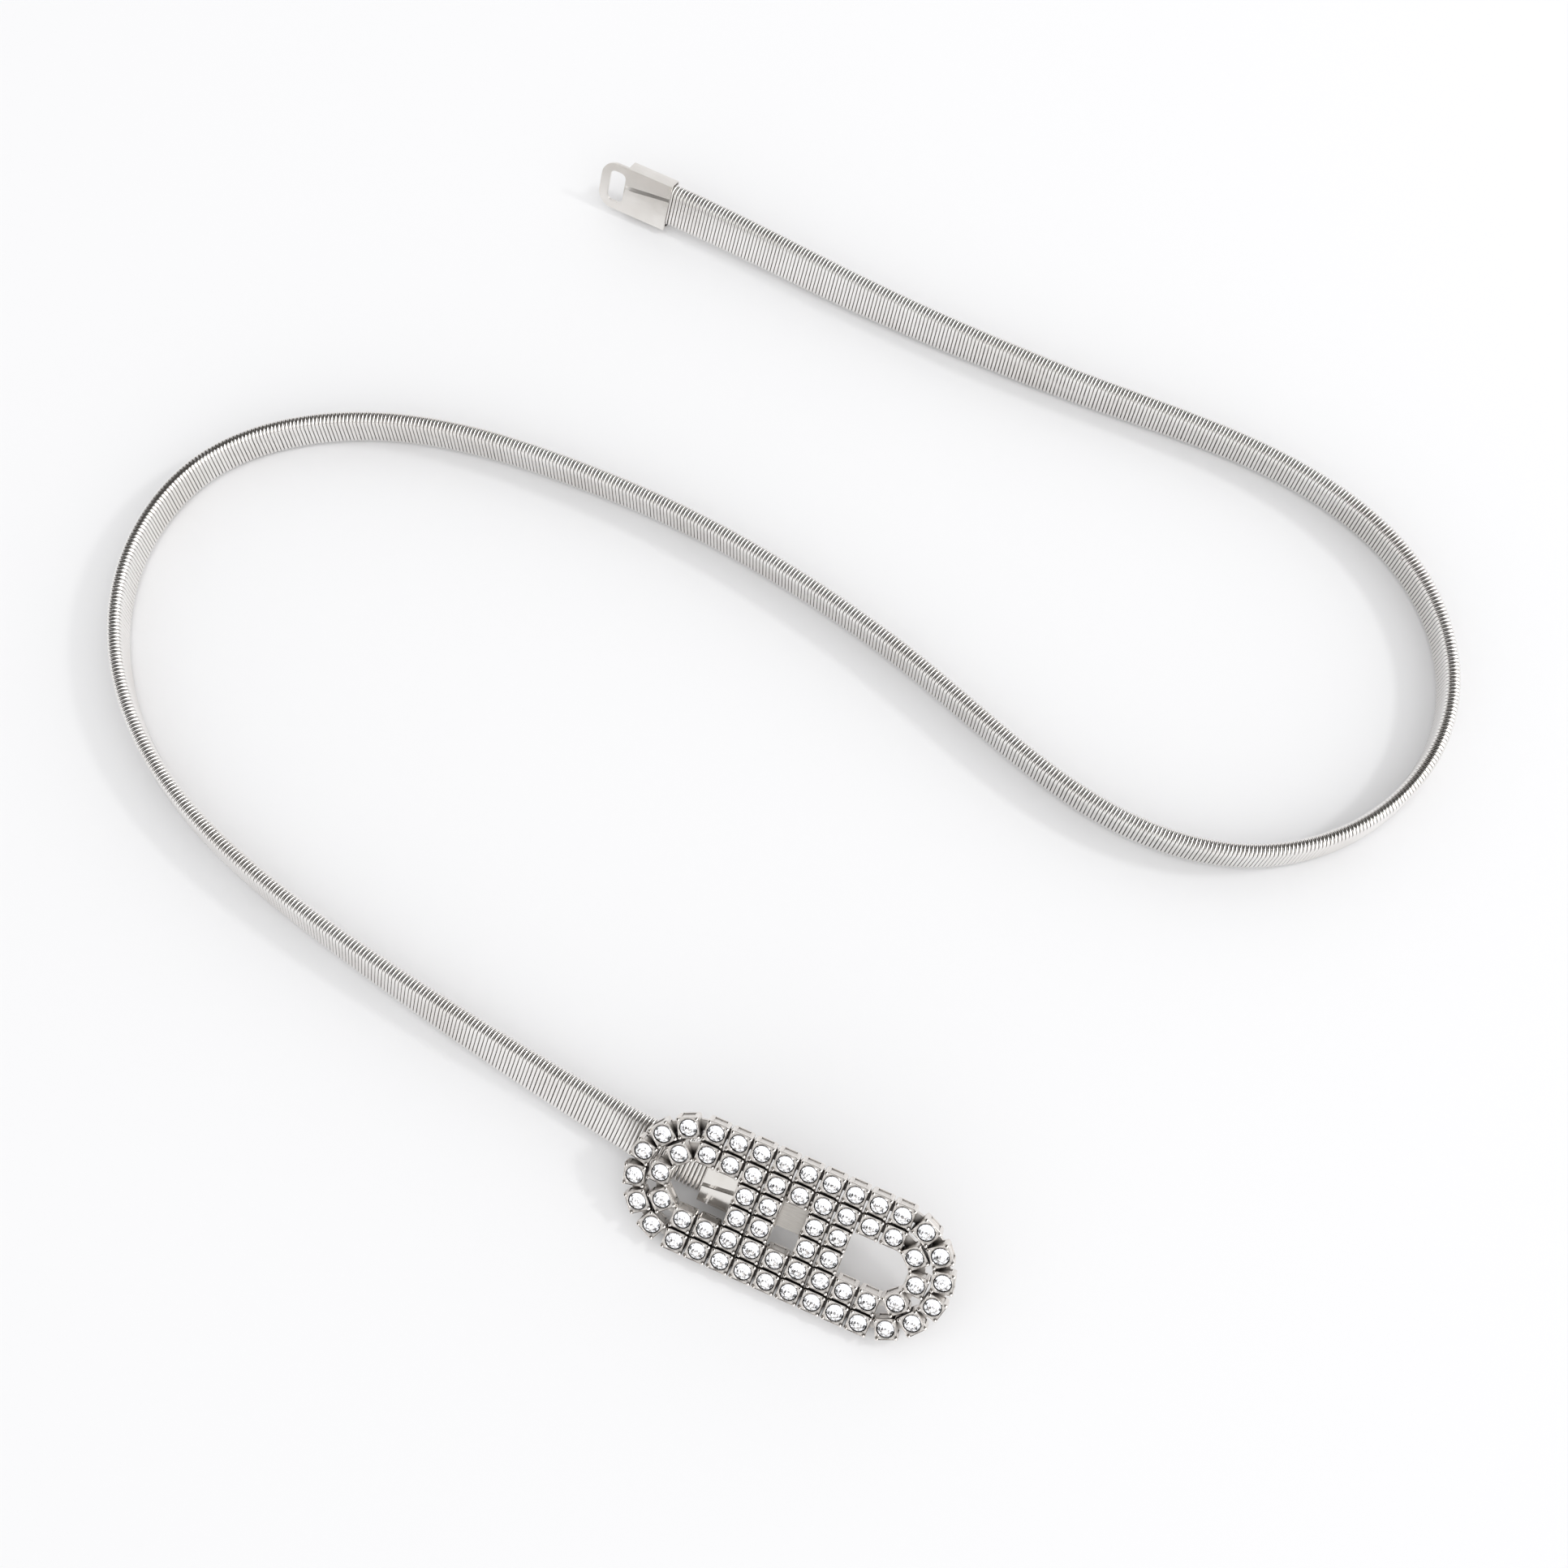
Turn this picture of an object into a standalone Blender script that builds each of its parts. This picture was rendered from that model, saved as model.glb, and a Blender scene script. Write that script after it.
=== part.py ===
"""Stretch waist chain: a flat coil-spring strap lying open in an S on its long edge,
an oblong buckle frame of square-cupped stones, a slotted eye cap on each strap end,
and the plain clip behind the buckle that holds one eye and takes the other.
Metres, +Z up. X runs along the buckle, Z = 0 is the surface it lies on, and the
origin is the middle of the whole thing's box on that surface."""

import math

import bmesh
import bpy
import numpy as np
from mathutils import Matrix, Vector

# Strap: a flattened coil of fine wire, built as the hollow tube that the coil fills
STRAP_WIDTH = 0.0080
STRAP_THICKNESS = 0.0025
STRAP_WALL = 0.0006
STATION_STEP = 0.0056
EDGE_SEGMENTS = 4

# Eye caps: a folded sleeve with a slotted front plate
SLEEVE_LENGTH = 0.0085
SLEEVE_WALL = 0.00025
SLEEVE_BACK_WALL = 0.00025
SLEEVE_END_WALL = 0.0005
SLEEVE_CORNER = 0.0009
STRAP_CLEARANCE = 0.0001
PLATE_THICKNESS = 0.0005
PLATE_OVERHANG = 0.00005
PLATE_TIP_CORNER = 0.0028
SLOT_SETBACK = 0.0001
SLOT_LENGTH = 0.0030
SLOT_HEIGHT = 0.0059
SLOT_CORNER = 0.0010
TIP_BAND = 0.0016

# Buckle frame: cups on a square pitch, with fanned cups round both ends
PITCH = 0.00380
HALF_COLUMNS = 4
BAR_COLUMNS = (-2, -1, 1, 2)
OUTER_FAN = 6
INNER_FAN = 3
BUCKLE_TILT = math.radians(32.0)
CUP_SIDE = 0.00345
CUP_CORNER_TRIM = 0.0001
CUP_BASE = 0.0003
CUP_RIM = 0.0026
PRONG_TOP = 0.0030
STONE_RADIUS = 0.00128
STONE_GIRDLE = 0.00245
TABLE_RADIUS = 0.00072
TABLE_TOP = 0.00305
RAIL_WIDTH = 0.0016
RAIL_THICKNESS = 0.0008
BAR_INSET = 0.0001
RAIL_ARC_SEGMENTS = 14

# Clip behind the buckle: a strip folded in at both ends
CLIP_WIDTH = 0.0047
CLIP_THICKNESS = 0.0008
CLIP_HALF_STRAIGHT = 0.0028
CLIP_MOUTH = 0.0018
FOLD_SEGMENTS = 8

# Gap kept between touching pieces
FIT_GAP = 0.0003

# Route of the strap's lower edge from the eye cap's mouth to the buckle, chosen by
# hand: x, y, lean of the upper edge to the left in degrees, and the share of the
# nearer end's lift off the surface
ROUTE = (
    (-0.0898, 0.1521, 28.0, 1.00),
    (-0.0788, 0.1515, 26.0, 0.85),
    (-0.0550, 0.1497, 19.0, 0.30),
    (-0.0319, 0.1488, 11.0, 0.00),
    (-0.0094, 0.1488, 6.0, 0.00),
    (0.0130, 0.1494, 2.0, 0.00),
    (0.0346, 0.1471, 0.0, 0.00),
    (0.0539, 0.1375, 0.0, 0.00),
    (0.0649, 0.1183, 0.0, 0.00),
    (0.0607, 0.0972, 0.0, 0.00),
    (0.0447, 0.0829, 0.0, 0.00),
    (0.0235, 0.0796, 0.0, 0.00),
    (0.0037, 0.0838, 0.0, 0.00),
    (-0.0174, 0.0909, 0.0, 0.00),
    (-0.0385, 0.0962, 0.0, 0.00),
    (-0.0606, 0.0994, 0.0, 0.00),
    (-0.0830, 0.0999, -1.0, 0.00),
    (-0.1057, 0.0977, -1.0, 0.00),
    (-0.1260, 0.0903, -1.0, 0.00),
    (-0.1412, 0.0752, 0.0, 0.00),
    (-0.1436, 0.0539, 1.0, 0.00),
    (-0.1330, 0.0340, 2.0, 0.00),
    (-0.1143, 0.0207, 5.0, 0.00),
    (-0.0932, 0.0135, 9.0, 0.00),
    (-0.0722, 0.0087, 17.0, 0.05),
    (-0.0516, 0.0048, 28.0, 0.25),
    (-0.0310, 0.0016, 43.0, 0.65),
)
FREE_HEADING = math.radians(-2.7)

# Sizes that follow from the ones above
EDGE_RADIUS = STRAP_THICKNESS / 2
CORE_HALF = STRAP_WIDTH / 2 - EDGE_RADIUS
CAVITY_HALF_HEIGHT = STRAP_WIDTH / 2 + STRAP_CLEARANCE
CAVITY_HALF_DEPTH = STRAP_THICKNESS / 2 + STRAP_CLEARANCE
SLEEVE_HALF_HEIGHT = CAVITY_HALF_HEIGHT + SLEEVE_WALL
SLEEVE_BACK = CAVITY_HALF_DEPTH + SLEEVE_BACK_WALL
PLATE_BACK = CAVITY_HALF_DEPTH - PLATE_OVERHANG
PLATE_FRONT = PLATE_BACK + PLATE_THICKNESS
STRAP_GRIP = SLEEVE_LENGTH - SLEEVE_END_WALL - FIT_GAP
SLOT_START = SLEEVE_LENGTH + SLOT_SETBACK
SLOT_END = SLOT_START + SLOT_LENGTH
CAP_LENGTH = SLOT_END + TIP_BAND
OUTER_RADIUS = 2.5 * PITCH
INNER_RADIUS = 1.5 * PITCH
FRAME_HALF_LENGTH = HALF_COLUMNS * PITCH
CLIP_UPPER = -FIT_GAP - CLIP_THICKNESS / 2
CLIP_LOWER = CLIP_UPPER - 2 * FIT_GAP - PLATE_THICKNESS - CLIP_THICKNESS
CLASP_MOUTH = -CLIP_HALF_STRAIGHT - FIT_GAP - SLOT_END
CLASP_DEPTH = CLIP_UPPER - CLIP_THICKNESS / 2 - FIT_GAP - PLATE_FRONT


def sleeve_rest_height(lean):
    """Height of a sleeve's middle above the surface when it lies leaning on it."""
    flat_height = SLEEVE_HALF_HEIGHT - SLEEVE_CORNER
    flat_depth = SLEEVE_BACK - SLEEVE_CORNER
    return flat_height * math.cos(lean) + flat_depth * math.sin(lean) + SLEEVE_CORNER


# The buckle stands on the outer edge of its lowest cups, and its strap cap lies
# behind it just clear of the surface
BUCKLE_HEIGHT = (OUTER_RADIUS + CUP_SIDE / 2) * math.sin(BUCKLE_TILT) - CUP_BASE * math.cos(BUCKLE_TILT)
CLASP_LEAN = math.pi / 2 - BUCKLE_TILT
CLASP_REST = sleeve_rest_height(CLASP_LEAN) + STRAP_CLEARANCE
CLASP_OFFSET = (CLASP_REST - BUCKLE_HEIGHT - CLASP_DEPTH * math.cos(BUCKLE_TILT)) / math.sin(BUCKLE_TILT)


def new_object(name, data, collection, parent=None):
    piece = bpy.data.objects.new(name, data)
    collection.objects.link(piece)
    piece.parent = parent
    return piece


def metal(name, colour, roughness):
    material = bpy.data.materials.new(name)
    material.use_nodes = True
    shader = material.node_tree.nodes["Principled BSDF"]
    shader.inputs["Base Color"].default_value = (*colour, 1.0)
    shader.inputs["Metallic"].default_value = 1.0
    shader.inputs["Roughness"].default_value = roughness
    return material


def mesh_of(piece):
    """The evaluated mesh of an object, with a curve's loose caps welded."""
    graph = bpy.context.evaluated_depsgraph_get()
    mesh = bpy.data.meshes.new_from_object(piece.evaluated_get(graph))
    shape = bmesh.new()
    shape.from_mesh(mesh)
    bmesh.ops.remove_doubles(shape, verts=shape.verts, dist=1e-6)
    shape.to_mesh(mesh)
    shape.free()
    return mesh


def flat_sheet(name, outlines, thickness, collection):
    """A flat sheet in XY whose middle is at z = 0, from closed outlines of (x, y)."""
    curve = bpy.data.curves.new(name, "CURVE")
    curve.dimensions = "2D"
    curve.fill_mode = "BOTH"
    curve.extrude = thickness / 2
    for outline in outlines:
        spline = curve.splines.new("POLY")
        spline.points.add(len(outline) - 1)
        for point, (x, y) in zip(spline.points, outline):
            point.co = (x, y, 0.0, 1.0)
        spline.use_cyclic_u = True
    sheet = new_object(name, curve, collection)
    mesh = mesh_of(sheet)
    bpy.data.objects.remove(sheet)
    return new_object(name, mesh, collection)


def block(name, low, high, corner, collection):
    """A box from low to high, its four edges along X rounded by corner."""
    shape = bmesh.new()
    bmesh.ops.create_cube(shape, size=1.0)
    low, high = Vector(low), Vector(high)
    size = high - low
    bmesh.ops.scale(shape, vec=size, verts=shape.verts)
    bmesh.ops.translate(shape, vec=(low + high) / 2, verts=shape.verts)
    if corner > 0:
        long_edges = [e for e in shape.edges if abs(e.verts[0].co.x - e.verts[1].co.x) > size.x / 2]
        bmesh.ops.bevel(shape, geom=long_edges, offset=corner, segments=3, profile=0.5, affect="EDGES")
    mesh = bpy.data.meshes.new(name)
    shape.to_mesh(mesh)
    shape.free()
    return new_object(name, mesh, collection)


def combine(base, operation, tools):
    """Applies one exact Boolean of all the tools to the base, and removes the tools."""
    for tool in tools:
        cut = base.modifiers.new(operation.lower(), "BOOLEAN")
        cut.operation = operation
        cut.solver = "EXACT"
        cut.object = tool
    bpy.context.view_layer.update()
    mesh = mesh_of(base)
    base.modifiers.clear()
    base.data = mesh
    for tool in tools:
        bpy.data.objects.remove(tool)
    return base


def arc(centre_x, centre_y, radius, start, end, segments):
    """Points of an arc of a circle, both ends included, angles in degrees."""
    angles = [math.radians(start + (end - start) * i / segments) for i in range(segments + 1)]
    return [(centre_x + radius * math.cos(a), centre_y + radius * math.sin(a)) for a in angles]


# Strap


def clamped_spline(params, values, first_slope, last_slope, at):
    """Cubic curve through the values at params, with set slopes at both ends."""
    span = np.diff(params)
    last = len(params) - 1
    system = np.eye(last + 1)
    right = np.zeros(last + 1)
    right[0], right[last] = first_slope, last_slope
    for i in range(1, last):
        system[i, i - 1:i + 2] = (1 / span[i - 1], 2 / span[i - 1] + 2 / span[i], 1 / span[i])
        rise_in = (values[i] - values[i - 1]) / span[i - 1] ** 2
        rise_out = (values[i + 1] - values[i]) / span[i] ** 2
        right[i] = 3 * (rise_in + rise_out)
    slope = np.linalg.solve(system, right)
    k = np.clip(np.searchsorted(params, at) - 1, 0, last - 1)
    t = (at - params[k]) / span[k]
    start = (1 + 2 * t) * (1 - t) ** 2 * values[k] + t * (1 - t) ** 2 * span[k] * slope[k]
    return start + t ** 2 * (3 - 2 * t) * values[k + 1] - t ** 2 * (1 - t) * span[k] * slope[k + 1]


def buckle_point(along, up, out):
    """A point of the buckle's own frame in the part's frame."""
    turn = Matrix.Rotation(BUCKLE_TILT, 3, "X")
    return turn @ Vector((along, up, out)) + Vector((0, 0, BUCKLE_HEIGHT))


def strap_frames():
    """Centre, direction and up of the strap at even steps, cap mouth to cap mouth."""
    knots = [list(row) for row in ROUTE]
    free_lean = math.radians(knots[0][2])
    free_lift = sleeve_rest_height(free_lean) - CORE_HALF * math.cos(free_lean) - EDGE_RADIUS
    clasp = buckle_point(CLASP_MOUTH, CLASP_OFFSET - CORE_HALF, CLASP_DEPTH)
    clasp_lift = clasp.z - EDGE_RADIUS
    for i, knot in enumerate(knots):
        knot[3] *= free_lift if i < len(knots) / 2 else clasp_lift
    knots.append([clasp.x, clasp.y, math.degrees(CLASP_LEAN), clasp_lift])
    table = np.array(knots)
    steps = np.hypot(*np.diff(table[:, :2], axis=0).T)
    params = np.concatenate([[0.0], np.cumsum(steps)])
    at = np.linspace(0.0, params[-1], 3000)
    slopes = ((math.cos(FREE_HEADING), 1.0), (math.sin(FREE_HEADING), 0.0), (0.0, 0.0), (0.0, 0.0))
    x, y, lean, lift = (clamped_spline(params, table[:, i], *slopes[i], at) for i in range(4))
    edge = np.stack([x, y, lift + EDGE_RADIUS], axis=1)
    along = np.gradient(edge, axis=0)
    left = np.stack([-along[:, 1], along[:, 0], np.zeros(len(at))], axis=1)
    left /= np.linalg.norm(left, axis=1)[:, None]
    lean = np.radians(lean)[:, None]
    up = np.cos(lean) * np.array([0.0, 0.0, 1.0]) + np.sin(lean) * left
    centre = edge + CORE_HALF * up
    length = np.concatenate([[0.0], np.cumsum(np.linalg.norm(np.diff(centre, axis=0), axis=1))])
    count = round(length[-1] / STATION_STEP) + 1
    even = np.linspace(0.0, length[-1], count)
    centre = np.stack([np.interp(even, length, centre[:, i]) for i in range(3)], axis=1)
    up = np.stack([np.interp(even, length, up[:, i]) for i in range(3)], axis=1)
    along = np.gradient(centre, axis=0)
    along[0] = (math.cos(FREE_HEADING), math.sin(FREE_HEADING), 0.0)
    along[-1] = (1.0, 0.0, 0.0)
    frames = []
    for middle, direction, upward in zip(centre, along, up):
        direction = Vector(direction).normalized()
        upward = Vector(upward)
        upward = (upward - upward.dot(direction) * direction).normalized()
        frames.append((Vector(middle), direction, upward))
    return frames


def spring_strap(frames, collection, root):
    """The hollow capsule tube along the route, with straight ends inside the caps."""
    guide = bpy.data.curves.new("strap_section", "CURVE")
    section = guide.splines.new("POLY")
    outline = arc(0, CORE_HALF, EDGE_RADIUS, 180, 0, EDGE_SEGMENTS)
    outline += arc(0, -CORE_HALF, EDGE_RADIUS, 360, 180, EDGE_SEGMENTS)
    section.points.add(len(outline) - 1)
    for point, (x, y) in zip(section.points, outline):
        point.co = (x, y, 0.0, 1.0)
    section.use_cyclic_u = True
    section_object = new_object("strap_section", guide, collection)

    first, last = frames[0], frames[-1]
    stations = [(first[0] - first[1] * STRAP_GRIP, *first[1:]), *frames]
    stations.append((last[0] + last[1] * STRAP_GRIP, *last[1:]))
    path = bpy.data.curves.new("strap_path", "CURVE")
    path.dimensions = "3D"
    path.twist_mode = "Z_UP"
    path.bevel_mode = "OBJECT"
    path.bevel_object = section_object
    spline = path.splines.new("POLY")
    spline.points.add(len(stations) - 1)
    for point, (middle, direction, upward) in zip(spline.points, stations):
        level = Vector((0, 0, 1)).cross(direction).normalized()
        plumb = direction.cross(level)
        point.co = (*middle, 1.0)
        point.tilt = -math.atan2(upward.dot(level), upward.dot(plumb))
    path_object = new_object("strap_path", path, collection)
    mesh = mesh_of(path_object)
    bpy.data.objects.remove(path_object)
    bpy.data.objects.remove(section_object)
    strap = new_object("spring_strap", mesh, collection, root)
    wall = strap.modifiers.new("wall", "SOLIDIFY")
    wall.thickness = STRAP_WALL
    wall.offset = -1.0
    return strap


# Eye caps


def eye_cap_mesh(collection):
    """Sleeve and slotted plate as one solid: mouth at x = 0, eye towards +X, plate on +Z."""
    half_height = SLEEVE_HALF_HEIGHT + PLATE_OVERHANG
    tip = CAP_LENGTH - PLATE_TIP_CORNER
    side = half_height - PLATE_TIP_CORNER
    outline = [(0.0, -half_height), *arc(tip, -side, PLATE_TIP_CORNER, -90, 0, 6)]
    outline += [*arc(tip, side, PLATE_TIP_CORNER, 0, 90, 6), (0.0, half_height)]
    slot_side = SLOT_HEIGHT / 2 - SLOT_CORNER
    slot_near, slot_far = SLOT_START + SLOT_CORNER, SLOT_END - SLOT_CORNER
    slot = arc(slot_near, -slot_side, SLOT_CORNER, 180, 270, 3)
    slot += arc(slot_far, -slot_side, SLOT_CORNER, 270, 360, 3)
    slot += arc(slot_far, slot_side, SLOT_CORNER, 0, 90, 3)
    slot += arc(slot_near, slot_side, SLOT_CORNER, 90, 180, 3)
    plate = flat_sheet("cap_plate", [outline, slot], PLATE_THICKNESS, collection)
    plate.data.transform(Matrix.Translation((0, 0, PLATE_BACK + PLATE_THICKNESS / 2)))

    sleeve = block(
        "cap_sleeve",
        (PLATE_OVERHANG, -SLEEVE_HALF_HEIGHT, -SLEEVE_BACK),
        (SLEEVE_LENGTH, SLEEVE_HALF_HEIGHT, PLATE_BACK + PLATE_THICKNESS / 2),
        0.0,
        collection,
    )
    round_back_edges(sleeve.data)
    combine(sleeve, "UNION", [plate])
    cavity = block(
        "cap_cavity",
        (-SLEEVE_LENGTH, -CAVITY_HALF_HEIGHT, -CAVITY_HALF_DEPTH),
        (SLEEVE_LENGTH - SLEEVE_END_WALL, CAVITY_HALF_HEIGHT, CAVITY_HALF_DEPTH),
        SLEEVE_CORNER - SLEEVE_WALL,
        collection,
    )
    combine(sleeve, "DIFFERENCE", [cavity])
    mesh = sleeve.data
    bpy.data.objects.remove(sleeve)
    return mesh


def round_back_edges(mesh):
    """Rounds a sleeve's two long edges on its back, away from the plate."""
    shape = bmesh.new()
    shape.from_mesh(mesh)
    back = [
        edge for edge in shape.edges
        if all(v.co.z < 0 for v in edge.verts)
        and abs(edge.verts[0].co.x - edge.verts[1].co.x) > SLEEVE_LENGTH / 2
    ]
    bmesh.ops.bevel(shape, geom=back, offset=SLEEVE_CORNER, segments=3, profile=0.5, affect="EDGES")
    shape.to_mesh(mesh)
    shape.free()


def cap_matrix(mouth, outward, front):
    """Places a cap with its mouth's middle at a point, its eye outward, its plate on front."""
    side = front.cross(outward)
    turn = Matrix((outward, side, front)).transposed()
    return Matrix.Translation(mouth) @ turn.to_4x4()


def eye_caps(frames, collection, root):
    mesh = eye_cap_mesh(collection)
    ends = (("eye_cap", frames[0], -1), ("strap_cap", frames[-1], 1))
    caps = []
    for name, (middle, direction, upward), sign in ends:
        cap = new_object(name, mesh.copy(), collection, root)
        cap.matrix_local = cap_matrix(middle, sign * direction, direction.cross(upward))
        caps.append(cap)
    return caps


# Buckle frame


def cup_places():
    """Where each cup sits in the buckle's frame, with the turn of its fanned ones."""
    places = []
    for column in range(-HALF_COLUMNS, HALF_COLUMNS + 1):
        rows = [-2.5, -1.5, 1.5, 2.5]
        if column in BAR_COLUMNS:
            rows += [-0.5, 0.5]
        places += [(column * PITCH, row * PITCH, 0.0) for row in rows]
    for count, radius in ((OUTER_FAN, OUTER_RADIUS), (INNER_FAN, INNER_RADIUS)):
        for i in range(1, count + 1):
            turn = math.pi * (i / (count + 1) - 0.5)
            x = FRAME_HALF_LENGTH + radius * math.cos(turn)
            y = radius * math.sin(turn)
            places += [(x, y, turn), (-x, -y, turn + math.pi)]
    return places


def stone_cup(shape, matrix):
    """One cup lofted into its stone: square wall, raised corners, bezel, crown and table."""
    half = CUP_SIDE / 2
    corner = half - CUP_CORNER_TRIM
    square = [(half, 0), (corner, corner), (0, half), (-corner, corner)]
    square += [(-x, -y) for x, y in square]
    circle = arc(0, 0, 1.0, 0, 315, 7)
    rings = [[(x, y, CUP_BASE) for x, y in square]]
    rings.append([(x, y, PRONG_TOP if i % 2 else CUP_RIM) for i, (x, y) in enumerate(square)])
    rings.append([(x * STONE_RADIUS, y * STONE_RADIUS, STONE_GIRDLE) for x, y in circle])
    rings.append([(x * TABLE_RADIUS, y * TABLE_RADIUS, TABLE_TOP) for x, y in circle])
    loops = [[shape.verts.new(matrix @ Vector(point)) for point in ring] for ring in rings]
    for lower, upper in zip(loops, loops[1:]):
        for i in range(len(lower)):
            j = (i + 1) % len(lower)
            shape.faces.new((lower[i], lower[j], upper[j], upper[i]))
    shape.faces.new(loops[-1])
    shape.faces.new(reversed(loops[0]))


def stadium_outline(radius):
    right = arc(FRAME_HALF_LENGTH, 0, radius, -90, 90, RAIL_ARC_SEGMENTS)
    left = arc(-FRAME_HALF_LENGTH, 0, radius, 90, 270, RAIL_ARC_SEGMENTS)
    return right + left


def frame_rail(name, radius, collection):
    """A closed oblong rail that runs behind one row of cups."""
    outlines = [stadium_outline(radius + RAIL_WIDTH / 2), stadium_outline(radius - RAIL_WIDTH / 2)]
    rail = flat_sheet(name, outlines, RAIL_THICKNESS, collection)
    rail.data.transform(Matrix.Translation((0, 0, RAIL_THICKNESS / 2)))
    return rail


def frame_bars(collection):
    """Short bars that tie the rails together behind each column and each cross bar."""
    half = RAIL_WIDTH / 2
    low, high = BAR_INSET, RAIL_THICKNESS - BAR_INSET
    lap = half / 2
    bars = []
    for column in range(-HALF_COLUMNS, HALF_COLUMNS + 1):
        x = column * PITCH
        if column in BAR_COLUMNS:
            spans = [(-OUTER_RADIUS - lap, OUTER_RADIUS + lap)]
        else:
            spans = [
                (-OUTER_RADIUS - lap, -INNER_RADIUS + lap),
                (INNER_RADIUS - lap, OUTER_RADIUS + lap),
            ]
        for start, end in spans:
            bars.append(block("bar", (x - half, start, low), (x + half, end, high), 0.0, collection))
    for near, far in ((BAR_COLUMNS[0], BAR_COLUMNS[1]), (BAR_COLUMNS[2], BAR_COLUMNS[3])):
        for row in (-0.5, 0.5):
            start = (near * PITCH - lap, row * PITCH - half, 0.0)
            end = (far * PITCH + lap, row * PITCH + half, RAIL_THICKNESS)
            bars.append(block("tie", start, end, 0.0, collection))
    return bars


def stone_frame(collection, root):
    """The buckle's front: every cup and stone fused to two rails and their bars."""
    cups = bmesh.new()
    for x, y, turn in cup_places():
        stone_cup(cups, Matrix.Translation((x, y, 0)) @ Matrix.Rotation(turn, 4, "Z"))
    mesh = bpy.data.meshes.new("cups")
    cups.to_mesh(mesh)
    cups.free()
    field = new_object("cups", mesh, collection)
    frame = frame_rail("stone_frame", OUTER_RADIUS, collection)
    tools = [frame_rail("inner_rail", INNER_RADIUS, collection), *frame_bars(collection), field]
    combine(frame, "UNION", tools)
    frame.parent = root
    frame.location = (0, 0, BUCKLE_HEIGHT)
    frame.rotation_euler = (BUCKLE_TILT, 0, 0)
    return frame


# Clip


def hook_clip(collection, root):
    """A strip folded in at both ends: one fold holds the strap's eye, one takes the free eye."""
    fold = (CLIP_UPPER - CLIP_LOWER) / 2
    middle = (CLIP_UPPER + CLIP_LOWER) / 2
    left = arc(-CLIP_HALF_STRAIGHT, middle, fold, 270, 90, FOLD_SEGMENTS)
    right = arc(CLIP_HALF_STRAIGHT, middle, fold, 90, -90, FOLD_SEGMENTS)
    route = [(-CLIP_MOUTH / 2, CLIP_LOWER), *left, *right, (CLIP_MOUTH / 2, CLIP_LOWER)]
    shape = bmesh.new()
    verts = [shape.verts.new((x, CLASP_OFFSET - CLIP_WIDTH / 2, z)) for x, z in route]
    edges = [shape.edges.new(pair) for pair in zip(verts, verts[1:])]
    swept = bmesh.ops.extrude_edge_only(shape, edges=edges)["geom"]
    far = [item for item in swept if isinstance(item, bmesh.types.BMVert)]
    bmesh.ops.translate(shape, vec=(0, CLIP_WIDTH, 0), verts=far)
    mesh = bpy.data.meshes.new("hook_clip")
    shape.to_mesh(mesh)
    shape.free()
    clip = new_object("hook_clip", mesh, collection, root)
    clip.location = (0, 0, BUCKLE_HEIGHT)
    clip.rotation_euler = (BUCKLE_TILT, 0, 0)
    sheet = clip.modifiers.new("sheet", "SOLIDIFY")
    sheet.thickness = CLIP_THICKNESS
    sheet.offset = 0.0
    sheet.use_even_offset = True
    return clip


def centre_on_surface(root, pieces):
    """Moves everything so that the middle of its box lies over the origin, at z = 0."""
    bpy.context.view_layer.update()
    graph = bpy.context.evaluated_depsgraph_get()
    points = []
    for piece in pieces:
        shown = piece.evaluated_get(graph)
        corners = np.array([shown.matrix_world @ v.co for v in shown.data.vertices])
        points += [corners.min(axis=0), corners.max(axis=0)]
    low, high = np.min(points, axis=0), np.max(points, axis=0)
    root.location = (-(low[0] + high[0]) / 2, -(low[1] + high[1]) / 2, -low[2])
    bpy.context.view_layer.update()


def main():
    for old in list(bpy.data.objects):
        bpy.data.objects.remove(old, do_unlink=True)
    collection = bpy.data.collections.new("waist_chain")
    bpy.context.scene.collection.children.link(collection)
    root = new_object("waist_chain_origin", None, collection)

    frames = strap_frames()
    strap = spring_strap(frames, collection, root)
    eye_cap, strap_cap = eye_caps(frames, collection, root)
    buckle = stone_frame(collection, root)
    clip = hook_clip(collection, root)

    finishes = (
        (strap, metal("spring_steel", (0.62, 0.61, 0.59), 0.25)),
        (eye_cap, metal("cap_steel", (0.68, 0.66, 0.63), 0.18)),
        (strap_cap, metal("cap_steel", (0.68, 0.66, 0.63), 0.18)),
        (buckle, metal("plated_alloy", (0.66, 0.64, 0.62), 0.20)),
        (clip, metal("clip_steel", (0.60, 0.59, 0.57), 0.28)),
    )
    for piece, material in finishes:
        piece.data.materials.clear()
        piece.data.materials.append(material)
        piece.data.shade_smooth()
        piece.data.set_sharp_from_angle(angle=math.radians(35))
    centre_on_surface(root, [piece for piece, material in finishes])


main()
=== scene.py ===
"""The look of a stretch waist chain: bright spring wire wound flat, two pressed eye
caps, and an oblong plated buckle set with foil-backed crystals, lying open in an S
on a white sheet in a light tent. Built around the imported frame, in metres."""

import math

import bmesh
import bpy
import numpy as np
from mathutils import Matrix, Vector


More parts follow.
